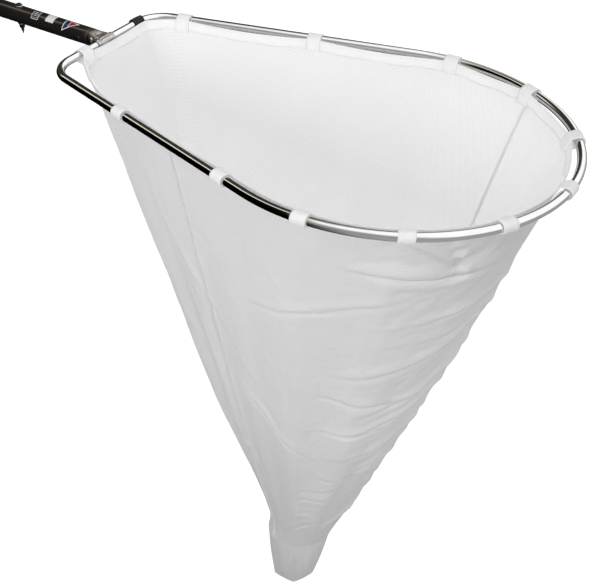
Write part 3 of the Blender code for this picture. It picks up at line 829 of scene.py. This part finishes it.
def make_labels():
    """Three stickers.  Real ones carry marks, which are left out for plain generic shapes."""
    base = 0.30 * MM
    step = 0.10 * MM
    start, end, reach = {}, {}, {}
    for node, arc in LABEL_ARCS.items():
        start[node], end[node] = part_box(node)[0][0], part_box(node)[1][0]
        reach[node] = SOCKET_RADIUS * math.radians(arc)

    a, b, r = (part["label_square"] for part in (start, end, reach))
    layers = ((0.0, 1.6, "sticker_white"), (1.0, 1.1, "sticker_black"), (2.9, 0.8, "sticker_white"),
              (3.2, 0.5, "sticker_black"))
    for k, (inset, corner, look) in enumerate(layers):
        inset *= MM
        rounded_block("sticker_square_%d" % (k + 1), a + inset, b - inset, inset, r - inset, corner * MM,
                      base + k * step, look, ["label_square"] if k == 0 else ())
    for k, (across, length) in enumerate(((0.34, 5.6), (0.50, 6.8), (0.66, 4.8))):
        middle = (a + b) / 2.0
        half = length / 2.0 * MM
        rounded_block("sticker_square_bar_%d" % (k + 1), middle - half, middle + half, r * across - 0.5 * MM,
                      r * across + 0.5 * MM, 0.4 * MM, base + 4 * step, "sticker_white")

    a, b, r = (part["label_plain"] for part in (start, end, reach))
    rounded_block("sticker_plain", a, b, 0.0, r, 1.2 * MM, base, "sticker_silver", ["label_plain"])
    rim = 1.2 * MM
    rounded_block("sticker_plain_field", a + rim, b - rim, rim, r - rim, 0.8 * MM, base + step,
                  "sticker_white")

    a, b, r = (part["label_pennant"] for part in (start, end, reach))
    xs = np.linspace(a, b, 30)
    far = np.linspace(0.0, r * 0.16, 30)
    near = np.linspace(r, r * 0.16 + 0.5 * MM, 30)
    sticker("sticker_pennant", xs, far, near, base, "sticker_white", ["label_pennant"])
    fields = (("blue", 0.06, 0.36, "sticker_blue"), ("red", 0.40, 0.80, "sticker_crimson"))
    for name, low, high, look in fields:
        xs = a + (b - a) * np.linspace(low, high, 16)
        share = (xs - a) / (b - a)
        far = r * 0.16 * share + 1.3 * MM
        near = r + (r * 0.16 + 0.5 * MM - r) * share - 1.5 * MM
        sticker("sticker_pennant_" + name, xs, far, np.maximum(near, far + 0.2 * MM), base + step, look)


make_labels()


# ---------------------------------------------------------------- where the bag hangs
TAIL_TURN = math.radians(33.0)          # the flat of the tail faces this way
HOOP_MIDDLE = np.array([(BAR_X + TIP_X) / 2.0, 0.0])
TAIL_LONG = np.array([math.cos(TAIL_TURN), math.sin(TAIL_TURN)])
TAIL_THIN = np.array([-TAIL_LONG[1], TAIL_LONG[0]])


def hoop_angle(points):
    """Direction of each point from the hoop's middle, on the hoop squeezed to a circle."""
    along = (points[:, 0] - HOOP_MIDDLE[0]) / ((TIP_X - BAR_X) / 2.0)
    return np.arctan2(points[:, 1] / HOOP_HALF_WIDTH, along)


def tail_ring(angles, long=0.058, thin=0.040):
    """The tail seam's points below hoop points with these angles."""
    turn = (angles - TAIL_TURN)[:, None]
    flat = TAIL_CENTRE[:2] + long * np.cos(turn) * TAIL_LONG + thin * np.sin(turn) * TAIL_THIN
    return np.hstack([flat, np.full((len(flat), 1), TAIL_TOP)])


def hem_curve(count=624):
    """The hem's top edge, round the hoop from the strap.

    The hem is held at every loop and at the strap, cuts each bend between them and sags a little.
    The span that cuts the bar's near corner is the slackest.
    """
    stations = [node_station(node) for node in ["black_strap"] + LOOPS]
    stations.append(stations[0] + HOOP_STATION[-1])
    held = LOOP_WIDTH * 0.36
    points = []
    for k, (here, there) in enumerate(zip(stations, stations[1:])):
        corner = k == len(stations) - 3
        t = np.linspace(0.0, 1.0, 26)[:, None]
        tube = np.array([along_hoop(x) for x in np.linspace(here + held, there - held, 26)])
        following = tube[:, 0] + tube[:, 2] * HEM_INSET
        chord = following[0] + (following[-1] - following[0]) * t
        share = 0.22 if corner else 0.62
        span = np.linalg.norm(following[-1] - following[0])
        sag = 4.0 * t * (1.0 - t) * span * (0.105 if corner else 0.022)
        points.append(chord + (following - chord) * share - UP * sag)
    return resample(np.vstack(points), count, closed=True) + UP * HEM_TOP


HEM = hem_curve()
HEM_TANGENT = unit(np.roll(HEM, -1, axis=0) - np.roll(HEM, 1, axis=0))
HEM_IN = unit(np.stack([HEM_TANGENT[:, 1], -HEM_TANGENT[:, 0], np.zeros(len(HEM))], axis=1))
HEM_DOWN = unit((tail_ring(hoop_angle(HEM)) - HEM) * [1.25, 1.25, 1.0])
HEM_LOWER = HEM + HEM_DOWN * HEM_HEIGHT


# ---------------------------------------------------------------- hem
def hem_ripple(count):
    """Small waves of the hem's lower edge, in and out."""
    rng = np.random.default_rng(11)
    phase = np.linspace(0.0, 2.0 * math.pi, count, endpoint=False)
    waves = sum(rng.uniform(0.3, 1.0) * np.sin(phase * n + rng.uniform(0, 6.28)) for n in (17, 29, 43, 61))
    return waves / np.abs(waves).max() * 1.2 * MM


HEM_RIPPLE = hem_ripple(len(HEM))


def make_hem():
    """A doubled strip with a rolled top edge, leaning with the net, with two rows of stitches."""
    half = 0.75 * MM

    def swell(t):
        """Half the strip's thickness at a share t of its height."""
        return half * (0.75 + 0.45 * math.sin(math.pi * min(t * 1.15, 1.0)))

    section = [(swell(t), t) for t in np.linspace(0.0, 1.0, 9)]
    outline = [(-w, t) for w, t in section] + [(w, t) for w, t in reversed(section)]
    outline += [(half * 0.55, -0.03), (-half * 0.55, -0.03)]
    rows = []
    for base, inward, down, wobble in zip(HEM, HEM_IN, HEM_DOWN, HEM_RIPPLE):
        rows.append([base + inward * (w + wobble * max(t, 0.0)) + down * t * HEM_HEIGHT for w, t in outline])
    hem = grid("hem", rows, wrap_rows=True, wrap_columns=True)
    finish_piece(hem, MATERIALS["white_webbing"], "net", ["hem_band"])
    runs = []
    for side in (1.0, -1.0):
        for t in (0.16, 0.84):
            across = side * swell(t) + HEM_RIPPLE * t
            line = HEM + HEM_IN * across[:, None] + HEM_DOWN * t * HEM_HEIGHT
            runs.append((np.vstack([line, line[:1]]), np.vstack([HEM_IN, HEM_IN[:1]]) * side))
    thread = stitches("hem_stitches", runs)
    finish_piece(thread, MATERIALS["thread"], "net")


make_hem()


# ---------------------------------------------------------------- webbing loops
def webbing_band(name, outline, width, thickness, centre, tangent, inward, skew=0.0, crown=0.25 * MM):
    """A strip of webbing of the given width that follows an outline of (inward, up) points round the tube."""
    path = smooth_path(np.array(outline) * MM, 56)
    following = np.roll(path, -1, axis=0) - np.roll(path, 1, axis=0)
    following[0] = path[1] - path[0]
    following[-1] = path[-1] - path[-2]
    direction = unit(following)
    normal = np.stack([-direction[:, 1], direction[:, 0]], axis=1)
    across = np.linspace(-0.5, 0.5, 9)
    shift = skew * (path[:, 1] - path[:, 1].mean())
    rows = []
    for point, n, slide in zip(path, normal, shift):
        row = []
        for side in (1.0, -1.0):
            for a in across if side > 0 else across[::-1]:
                edge = 1.0 - 0.55 * max(0.0, (abs(a) - 0.44) / 0.06)
                lift = side * thickness / 2.0 * edge + crown * math.cos(math.pi * a)
                spot = point + n * lift
                row.append(centre + tangent * (a * width + slide) + inward * spot[0] + UP * spot[1])
        rows.append(row)
    return grid(name, rows, wrap_columns=True, caps=True)


LOOP_OUTLINE = [                 # millimetres inwards and up from the tube's centre
    (13.4, -12.5), (13.4, -7.0), (13.2, -1.0), (12.0, 3.6), (8.6, 6.0), (4.2, 7.5), (0.0, 7.9),
    (-4.2, 6.9), (-7.2, 3.6), (-7.9, -0.4), (-6.8, -4.4), (-3.6, -7.3), (0.8, -8.6), (5.2, -9.6),
    (8.2, -11.0), (8.8, -14.5),
]


def leaning(outline, lean):
    """The ends of the outline follow the hem as it leans inwards below its top edge."""
    return [(x + lean * max(0.0, 3.0 - z) * min(max((x - 3.0) / 6.0, 0.0), 1.0), z) for x, z in outline]


def make_loops():
    rng = np.random.default_rng(5)
    runs = []
    for name in LOOPS:
        centre, tangent, inward = node_place(name)
        at = int(np.argmin(np.linalg.norm(HEM[:, :2] - (centre + inward * HEM_INSET)[:2], axis=1)))
        lean = float(HEM_DOWN[at] @ inward / -HEM_DOWN[at][2])
        grow = rng.uniform(0.97, 1.05)
        drop = rng.uniform(0.0, 2.0)
        outline = [(x if x > 6.0 else x * grow, z if x > 6.0 else z * grow) for x, z in LOOP_OUTLINE]
        outline = leaning([(x, z - (drop if z < -10.0 else 0.0)) for x, z in outline], lean)
        skew = rng.uniform(-0.08, 0.08)
        width = LOOP_WIDTH
        if name == "loop_12":
            skew = 0.30
            width = LOOP_WIDTH * 0.96
        loop = webbing_band("webbing_" + name, outline, width, 1.3 * MM, centre, tangent, inward, skew)
        finish_piece(loop, MATERIALS["white_webbing"], "net", [name])
        face = outline[:3]
        for edge in (-0.38, 0.38):
            line = np.array([centre + tangent * (edge * width) + inward * (x + 0.9) * MM + UP * z * MM
                             for x, z in face])
            runs.append((smooth_path(line, 12), np.tile(inward, (12, 1))))
        for x, z in (face[0], face[2]):
            line = np.array([centre + tangent * (a * width) + inward * (x + 0.95) * MM + UP * (z + 1.6) * MM
                             for a in np.linspace(-0.38, 0.38, 8)])
            runs.append((line, np.tile(inward, (8, 1))))
    thread = stitches("loop_stitches", runs, pitch=3.4 * MM, length=2.5 * MM)
    finish_piece(thread, MATERIALS["thread"], "net")


def make_loop_flap():
    """The spare end of the bar's loop, which hangs free inside the hem."""
    centre, tangent, inward = node_place("loop_12")
    outline = [(14.2, -8.0), (15.2, -16.0), (16.6, -26.0), (19.0, -38.0)]
    start = centre - tangent * 7.0 * MM
    flap = webbing_band("webbing_flap", outline, 12.0 * MM, 1.2 * MM, start, tangent, inward, skew=-0.10)
    finish_piece(flap, MATERIALS["white_webbing"], "net")


make_loops()
make_loop_flap()


# ---------------------------------------------------------------- black strap
def make_strap():
    """A ribbed rubbery strap wound round the tube, following its bend."""
    station = node_station("black_strap")
    width = 20.0 * MM
    ribs = 5
    rows = []
    profile = []
    for t in np.linspace(0.0, 1.0, ribs * 8 + 1):
        profile.append((TUBE_RADIUS + 2.0 * MM + 0.7 * MM * math.cos(2.0 * math.pi * ribs * t), t))
    profile += [(TUBE_RADIUS + 0.5 * MM, 0.985), (TUBE_RADIUS + 0.5 * MM, 0.015)]
    for radius, t in profile:
        centre, _, inward = along_hoop(station + (t - 0.5) * width)
        rows.append(centre + radius * directions(inward, UP, 40))
    strap = grid("ribbed_strap", rows, wrap_rows=True, wrap_columns=True, sharp_degrees=70.0, flip=True)
    finish_piece(strap, MATERIALS["black_webbing"], "net", ["black_strap"])


make_strap()


# ---------------------------------------------------------------- bag
BAG_COLUMNS = 156
BAG_ROWS = 118
FINE_COLUMNS = 234
FINE_ROWS = 300
TAIL_ROWS = 24
PLEAT = 2.8 * MM             # soft folds that run down the bag
RUMPLE = 1.5 * MM            # uneven lie of the cloth
BOW = 9.0 * MM               # how far the slack side swells outwards
PINCH = 17.0 * MM            # how far the bag is drawn in above the tail, towards the bar's near corner
PINCH_SIDE = np.array([-0.84, -0.55, 0.0])
TAPE_WIDTH = 6.0 * MM
NEAR_SEAM_SHARE = 0.42       # the near seam hangs this far from loop_11 towards loop_10


def smoothstep(low, high, x):
    t = np.clip((x - low) / (high - low), 0.0, 1.0)
    return t * t * (3.0 - 2.0 * t)


def wandering(rng, shape, knots):
    """Smooth random field between -1 and 1, from a coarse grid of seeded values."""
    coarse = rng.uniform(-1.0, 1.0, knots)
    down = np.linspace(0.0, knots[0] - 1.0, shape[0])
    across = np.linspace(0.0, knots[1] - 1.0, shape[1])
    i = np.minimum(down.astype(int), knots[0] - 2)
    j = np.minimum(across.astype(int), knots[1] - 2)
    fi = smoothstep(0.0, 1.0, down - i)[:, None]
    fj = smoothstep(0.0, 1.0, across - j)[None, :]
    a, b = coarse[i][:, j], coarse[i][:, j + 1]
    c, d = coarse[i + 1][:, j], coarse[i + 1][:, j + 1]
    return (a * (1 - fj) + b * fj) * (1 - fi) + (c * (1 - fj) + d * fj) * fi


def crease(down, angles, at, centre, reach, slope, depth, width):
    """A fold across the cloth: a rounded lip with a tuck under it, fading out at both ends.

    It crosses the angle centre at the distance at below the hem, and falls by slope for each radian.
    """
    away = (angles - centre + math.pi) % (2.0 * math.pi) - math.pi
    gap = down - (at + slope * away)
    lip = np.exp(-((gap + width) / width) ** 2 / 2.0)
    tuck = np.exp(-((gap - 0.5 * width) / (0.55 * width)) ** 2 / 2.0)
    return depth * (lip - 0.9 * tuck) * np.exp(-np.abs(away / reach) ** 2.6)


def crease_fade(angles, start=-0.10):
    """Creases die out where the cloth turns away towards the far side."""
    return 1.0 - 0.92 * smoothstep(start, start + 0.30, angles)


def crease_list(rng):
    """Position, angle, half length, slope, depth and width of every crease."""
    creases = []
    at = 0.17
    while at < 0.86:
        room = 1.0 - 0.35 * at
        creases.append((at, rng.uniform(-0.25, 0.25), rng.uniform(0.28, 0.75) * room,
                        rng.uniform(-0.13, -0.03), rng.uniform(3.0, 5.6) * MM, rng.uniform(6.0, 9.5) * MM))
        if rng.uniform() < 0.55:
            creases.append((at + rng.uniform(0.01, 0.03), rng.uniform(-1.35, -0.5), rng.uniform(0.2, 0.4),
                            rng.uniform(-0.16, 0.04), rng.uniform(1.6, 3.0) * MM, rng.uniform(6.0, 9.0) * MM))
        at += rng.uniform(0.034, 0.064)
    second, third = (hoop_angle(node_place(name)[0][None])[0] for name in ("loop_08", "loop_07"))
    middle = (second + third) / 2.0
    creases.append((0.085, middle, 0.34, 0.02, 7.0 * MM, 9.0 * MM))
    creases.append((0.040, second + 0.16, 0.17, 0.22, 5.0 * MM, 9.0 * MM))
    creases.append((0.055, third - 0.10, 0.10, 0.60, 5.0 * MM, 8.0 * MM))
    creases.append((0.53, -1.45, 0.40, 0.17, 4.0 * MM, 8.0 * MM))
    creases.append((0.30, -2.0, 0.60, 0.35, 1.5 * MM, 12.0 * MM))
    creases.append((0.62, -2.1, 0.50, 0.45, 1.8 * MM, 10.0 * MM))
    return creases


def bag_pattern():
    """Rings from the hem's lower edge to the tail, drawn straight, and how the cloth is creased in it.

    The cloth is taut towards the bar.  On the rounded side it is cut long, so it lies in level creases.
    """
    rng = np.random.default_rng(3)
    top = resample(HEM_LOWER, BAG_COLUMNS, closed=True) + UP * 1.5 * MM
    angles = hoop_angle(top)
    bottom = tail_ring(angles)
    share = np.linspace(0.0, 1.0, BAG_ROWS)
    straight = top[None] + (bottom - top)[None] * share[:, None, None]
    outward = unit(np.stack([np.cos(angles) * HOOP_HALF_WIDTH, np.sin(angles) * (TIP_X - BAR_X) / 2.0,
                             np.zeros(BAG_COLUMNS)], axis=1))
    slack_side = smoothstep(-0.15, 0.75, np.cos(angles + 0.15))
    depth = np.linalg.norm(bottom - top, axis=1).mean() * share[:, None]
    folds = sum(crease(depth, angles[None], *one) for one in crease_list(rng)) * crease_fade(angles[None])
    ends = smoothstep(0.0, 0.05, share) * (1.0 - smoothstep(0.94, 1.0, share))
    turned_angles = angles - TAIL_TURN
    pleats = sum(np.sin(turned_angles * n + p) for n, p in ((5, 1.0), (9, 0.4), (14, 2.1)))
    pleats = PLEAT * pleats[None] * np.sin(math.pi * share)[:, None]
    rumple = RUMPLE * wandering(rng, (BAG_ROWS, BAG_COLUMNS), (15, 31))
    bow = BOW * np.sin(math.pi * share)[:, None] * (0.3 + 0.7 * slack_side[None])
    pinched = smoothstep(0.15, 0.95, outward @ PINCH_SIDE)
    pinch = PINCH * (smoothstep(0.62, 0.92, share) * (1.0 - smoothstep(0.94, 1.0, share)))[:, None]
    shift = (folds + rumple + pleats) * ends[:, None] + bow - pinch * pinched
    return straight + outward[None] * shift[:, :, None]


CLOTH = {
    "quality": 6, "mass": 0.0002, "air_damping": 3.0, "tension_stiffness": 18.0,
    "compression_stiffness": 12.0, "shear_stiffness": 6.0, "bending_stiffness": 0.08,
    "tension_damping": 8.0, "compression_damping": 8.0, "shear_damping": 8.0,
}


def settle_cloth(obj, pinned, frames=40):
    """Hangs the bag from its pinned rings under gravity and keeps the resting shape."""
    group = obj.vertex_groups.new(name="pinned")
    group.add(pinned, 1.0, "REPLACE")
    cloth = obj.modifiers.new("Cloth", "CLOTH")
    for name, value in CLOTH.items():
        setattr(cloth.settings, name, value)
    cloth.settings.vertex_group_mass = "pinned"
    cloth.settings.effector_weights.gravity = 0.5
    cloth.collision_settings.use_self_collision = False
    cloth.collision_settings.use_collision = False
    cloth.point_cache.frame_start = 1
    cloth.point_cache.frame_end = frames
    scene = bpy.context.scene
    scene.frame_start = 1
    scene.frame_end = frames
    for number in range(1, frames + 1):
        scene.frame_set(number)
    settled = obj.evaluated_get(bpy.context.evaluated_depsgraph_get())
    points = np.empty(len(obj.data.vertices) * 3, np.float32)
    settled.data.vertices.foreach_get("co", points)
    obj.modifiers.remove(cloth)
    obj.vertex_groups.clear()
    scene.frame_set(1)
    return points.reshape(-1, 3).astype(float)


def flat_size(rows):
    """Width, length and area of the cloth a grid was cut from."""
    widths = np.linalg.norm(np.diff(rows, axis=1), axis=2).sum(axis=1)
    lengths = np.linalg.norm(np.diff(rows, axis=0), axis=2).sum(axis=0)
    size = (float(widths.max()), float(lengths.max()))
    across = rows[:-1, 1:] - rows[:-1, :-1]
    down = rows[1:, :-1] - rows[:-1, :-1]
    area = float(np.linalg.norm(np.cross(across, down), axis=2).sum())
    return size, min(area, size[0] * size[1])


def refined(points, count, closed):
    """The rows of points, made into count rows by smooth curves through them."""
    if closed:
        points = np.concatenate([points[-1:], points, points[:2]])
        at = 1.0 + np.arange(count) * (len(points) - 3) / count
    else:
        points = np.concatenate([2 * points[:1] - points[1:2], points, 2 * points[-1:] - points[-2:-1]])
        at = 1.0 + np.linspace(0.0, len(points) - 3.0, count)
    k = np.clip(at.astype(int), 1, len(points) - 3)
    return catmull_rom(points[k - 1], points[k], points[k + 1], points[k + 2], (at - k)[:, None, None])


def finer(rings):
    """The same surface with more points, and a sharp tuck along every crease."""
    rings = refined(rings, FINE_ROWS, False)
    rings = refined(rings.transpose(1, 0, 2), FINE_COLUMNS, True).transpose(1, 0, 2)
    rng = np.random.default_rng(3)
    angles = hoop_angle(rings[0])[None]
    share = np.linspace(0.0, 1.0, FINE_ROWS)[:, None]
    depth = np.linalg.norm(rings[-1] - rings[0], axis=1).mean() * share
    waver = 4.0 * MM * wandering(rng, (FINE_ROWS, FINE_COLUMNS), (12, 60))
    tucks = 0.0
    for at, centre, reach, slope, size, width in crease_list(np.random.default_rng(3)):
        away = (angles - centre + math.pi) % (2.0 * math.pi) - math.pi
        gap = depth + waver - (at + slope * away) - 0.5 * width
        fade = np.exp(-np.abs(away / (reach * 0.85)) ** 4)
        tuck = np.exp(-(gap / (2.6 * MM)) ** 2 / 2.0)
        lip = np.exp(-((gap + 6.0 * MM) / (3.2 * MM)) ** 2 / 2.0)
        tucks = tucks + size * 0.85 * fade * (tuck - 0.6 * lip)
    ends = smoothstep(0.0, 0.03, share) * (1.0 - smoothstep(0.96, 1.0, share)) * crease_fade(angles, 0.12)
    return rings - ring_normals(rings) * (tucks * ends)[:, :, None]


def bag_rings():
    """The cloth's pattern, and the same points after it has hung."""
    pattern = bag_pattern()
    trial = grid("bag_trial", pattern, wrap_columns=True)
    last = (BAG_ROWS - 1) * BAG_COLUMNS
    pinned = list(range(BAG_COLUMNS)) + list(range(last, last + BAG_COLUMNS))
    settled = settle_cloth(trial, pinned)
    bpy.data.objects.remove(trial, do_unlink=True)
    return finer(pattern), finer(settled.reshape(pattern.shape))


def column_below(rings, station):
    """The bag column below a point of the hoop."""
    return int(np.argmin(np.linalg.norm(rings[0][:, :2] - along_hoop(station)[0][:2], axis=1)))


def columns_between(start, end):
    """Column numbers from start to end inclusive, going round."""
    if end <= start:
        end += FINE_COLUMNS
    return [k % FINE_COLUMNS for k in range(start, end + 1)]


def make_panel(name, node, pattern, rings, columns):
    rows = rings[:, columns]
    panel = grid(name, rows, centred=True)
    finish_piece(panel, MATERIALS["white_net"], "net", [node])
    return panel, flat_size(pattern[:, columns])


def ring_normals(rings):
    """Outward directions over the bag's points."""
    across = np.roll(rings, -1, axis=1) - np.roll(rings, 1, axis=1)
    down = np.gradient(rings, axis=0)
    normals = unit(np.cross(down, across))
    middle = rings.mean(axis=1, keepdims=True)
    flips = np.sign(((rings - middle) * normals).sum(axis=2, keepdims=True))
    return normals * np.where(flips == 0.0, 1.0, flips)


def make_seam(name, node, rings, normals, column):
    """A narrow tape over a long seam, with a row of stitches along each edge."""
    path = resample(rings[:, column], 150)
    lift = np.stack([np.interp(np.linspace(0, 1, 150), np.linspace(0, 1, len(rings)), normals[:, column, k])
                     for k in range(3)], axis=1)
    along = unit(np.gradient(path, axis=0))
    side = unit(np.cross(along, lift))
    lift = unit(np.cross(side, along))
    rise = 0.55 * MM
    tape = sweep(name, path + lift * rise, side, lift, strip_outline(TAPE_WIDTH, 0.4 * MM))
    finish_piece(tape, MATERIALS["seam_tape"], "net", [node])
    seam = path + lift * (rise + 0.25 * MM)
    runs = [(seam + side * edge * 0.35 * TAPE_WIDTH, lift) for edge in (-1.0, 1.0)]
    thread = stitches(name + "_stitches", runs)
    finish_piece(thread, MATERIALS["thread"], "net")
    return [tape, thread]


def make_tail(last):
    """The blunt tail: the bag's last ring gathered flat and closed by a straight seam."""
    long = (last[:, :2] - TAIL_CENTRE[:2]) @ TAIL_LONG
    thin = (last[:, :2] - TAIL_CENTRE[:2]) @ TAIL_THIN
    reach = np.abs(long).max()
    rows = [last]
    for k in range(1, TAIL_ROWS + 1):
        v = k / TAIL_ROWS
        narrow = 1.0 - 0.34 * v ** 1.2
        shut = 1.0 - 0.97 * v ** 2.2
        gather = 2.4 * MM * math.sin(math.pi * v) * np.sin(long / reach * 8.0 + 3.0 * v)
        fine = 1.1 * MM * math.sin(math.pi * v) * np.sin(long / reach * 19.0 - 4.0 * v + thin * 60.0)
        ring = np.zeros_like(last)
        ring[:, :2] = (TAIL_CENTRE[:2] + (long * narrow - 11.0 * MM * v)[:, None] * TAIL_LONG
                       + (thin * shut + gather + fine)[:, None] * TAIL_THIN)
        rounded = 0.030 * (np.abs(long) / reach) ** 1.3 * v
        ring[:, 2] = TAIL_TOP + (TAIL_BOTTOM + 0.004 - TAIL_TOP) * v + rounded
        rows.append(ring)
    rows = np.array(rows)
    tail = grid("tail", rows, wrap_columns=True)
    finish_piece(tail, MATERIALS["white_net"], "net", ["tail_pouch"])


def make_bag():
    """Two net panels, the tapes over their seams, and the tail."""
    pattern, rings = bag_rings()
    last_span = node_station("loop_11") - node_station("loop_10")
    near_seam = column_below(rings, node_station("loop_11") - NEAR_SEAM_SHARE * last_span)
    far_seam = column_below(rings, node_station("loop_04") + 0.01)
    normals = ring_normals(rings)
    tapes = {side: make_seam("tape_" + side, "seam_tape_" + side, rings, normals, column)
             for side, column in (("near", near_seam), ("far", far_seam))}
    for side, start, end in (("near", far_seam, near_seam), ("far", near_seam, far_seam)):
        panel, (size, area) = make_panel("net_" + side, "net_panel_" + side, pattern, rings,
                                         columns_between(start, end))
    make_tail(rings[-1])


make_bag()


# ---------------------------------------------------------------- stage
def area_light(name, position, target, width, height, power, colour=(1.0, 1.0, 1.0)):
    data = bpy.data.lights.new(name, "AREA")
    data.shape = "RECTANGLE"
    data.size = width
    data.size_y = height
    data.energy = power
    data.color = colour
    light = bpy.data.objects.new(name, data)
    bpy.context.scene.collection.objects.link(light)
    light.location = position
    light.rotation_mode = "QUATERNION"
    light.rotation_quaternion = (Vector(target) - Vector(position)).to_track_quat("-Z", "Y")
    light.visible_glossy = False


class Sky(Tree):
    """Builds the studio's surroundings as a function of direction."""

    def __init__(self):
        world = bpy.data.worlds.new("studio")
        world.use_nodes = True
        bpy.context.scene.world = world
        super().__init__(world.node_tree)
        where = self.add("ShaderNodeTexCoord").outputs["Generated"]
        self.direction = self.add("ShaderNodeSeparateXYZ", where).outputs

    def step(self, axis, start, stop):
        """A smooth rise from 0 at start to 1 at stop along an axis."""
        falls = start > stop
        return self.add("ShaderNodeMapRange", interpolation_type="SMOOTHSTEP", Value=self.direction[axis],
                        From_Min=min(start, stop), From_Max=max(start, stop), To_Min=float(falls),
                        To_Max=float(not falls)).outputs[0]

    def combine(self, operation, result, *values):
        for value in values:
            result = self.math(operation, result, value)
        return result

    def finish(self, strength, warm):
        """Reflections see the surroundings in full, and cloth sees less.  warm tints them yellowish."""
        glossy = self.add("ShaderNodeLightPath").outputs["Is Glossy Ray"]
        dim = self.add("ShaderNodeMapRange", Value=glossy, To_Min=0.76).outputs[0]
        background = self.tree.nodes["Background"]
        self.put(background.inputs["Color"], self.mix(warm, (1.0, 1.0, 1.0), (1.0, 0.90, 0.78)))
        self.put(background.inputs["Strength"], self.math("MULTIPLY", strength, dim))


def make_sky():
    """White towards the rounded end and overhead, dark towards the handle, with a thin bright strip above."""
    sky = Sky()
    above = sky.combine("MULTIPLY", sky.step("Z", -0.10, 0.25), sky.step("X", -0.46, -0.22),
                        sky.combine("ADD", sky.combine("MULTIPLY", sky.step("Y", -0.85, -0.45), 0.65), 0.30))
    below = sky.combine("MULTIPLY", sky.step("Z", 0.20, -0.15), sky.step("X", -0.4, 0.2), 0.42)
    strip = sky.combine("MULTIPLY", sky.step("Y", -0.26, -0.12), sky.step("Y", 0.08, -0.06),
                        sky.step("Z", 0.3, 0.5), sky.step("X", -0.25, -0.40), 1.3)
    haze = sky.combine("MULTIPLY", sky.step("Z", -0.05, 0.15), sky.step("Y", -0.30, 0.0), 0.045)
    sky.finish(sky.combine("ADD", sky.combine("MULTIPLY", above, 1.35), below, strip, haze),
               sky.step("X", -0.22, -0.42))


FLOOR_DROP = 0.30            # the paper lies this far below the tail
FLOOR_REACH = 9.0


def make_stage():
    middle = (np.array(cad_bounds[0]) + np.array(cad_bounds[1])) / 2.0
    floor_z = cad_bounds[0][2] - FLOOR_DROP
    corners = [(middle[0] + x * FLOOR_REACH, middle[1] + y * FLOOR_REACH, floor_z)
               for x, y in ((-1, -1), (1, -1), (1, 1), (-1, 1))]
    floor = add_mesh("floor", corners, [(0, 1, 2, 3)])
    m = Nodes("floor_paper")
    m.set(Roughness=0.9, Specular_IOR_Level=0.1, Base_Color=(0.95, 0.95, 0.95))
    m.set(Emission_Color=(1.0, 1.0, 1.0), Emission_Strength=0.45)
    floor.data.materials.append(m.material)
    floor.visible_glossy = False
    floor.visible_diffuse = False
    centre = Vector((BAR_X + 0.40, 0.0, 0.0))
    area_light("overhead", (0.55, -0.35, 2.4), centre, 2.4, 1.6, 1.0, (1.0, 0.995, 0.985))
    area_light("front", (0.45, -2.05, 0.58), centre + Vector((0.0, 0.0, -0.55)), 1.1, 0.8, 27.0)
    make_sky()


FOCAL_LENGTH = 65.46                     # millimetres, on a 36 mm wide sensor
CAMERA_PLACE = (BAR_X + 1.1188, -1.1538, 0.7585)
CAMERA_RIGHT = (0.8373, 0.5468, 0.0017)
CAMERA_UP = (-0.3423, 0.5217, 0.7814)


def make_camera():
    data = bpy.data.cameras.new("camera")
    data.lens = FOCAL_LENGTH
    data.sensor_width = 36.0
    camera = bpy.data.objects.new("camera", data)
    bpy.context.scene.collection.objects.link(camera)
    right = Vector(CAMERA_RIGHT).normalized()
    up = Vector(CAMERA_UP).normalized()
    back = right.cross(up).normalized()
    up = back.cross(right)
    turn = Matrix((right, up, back)).transposed().to_4x4()
    camera.matrix_world = Matrix.Translation(CAMERA_PLACE) @ turn
    bpy.context.scene.camera = camera


make_stage()
make_camera()
bpy.context.scene.view_settings.view_transform = "Standard"
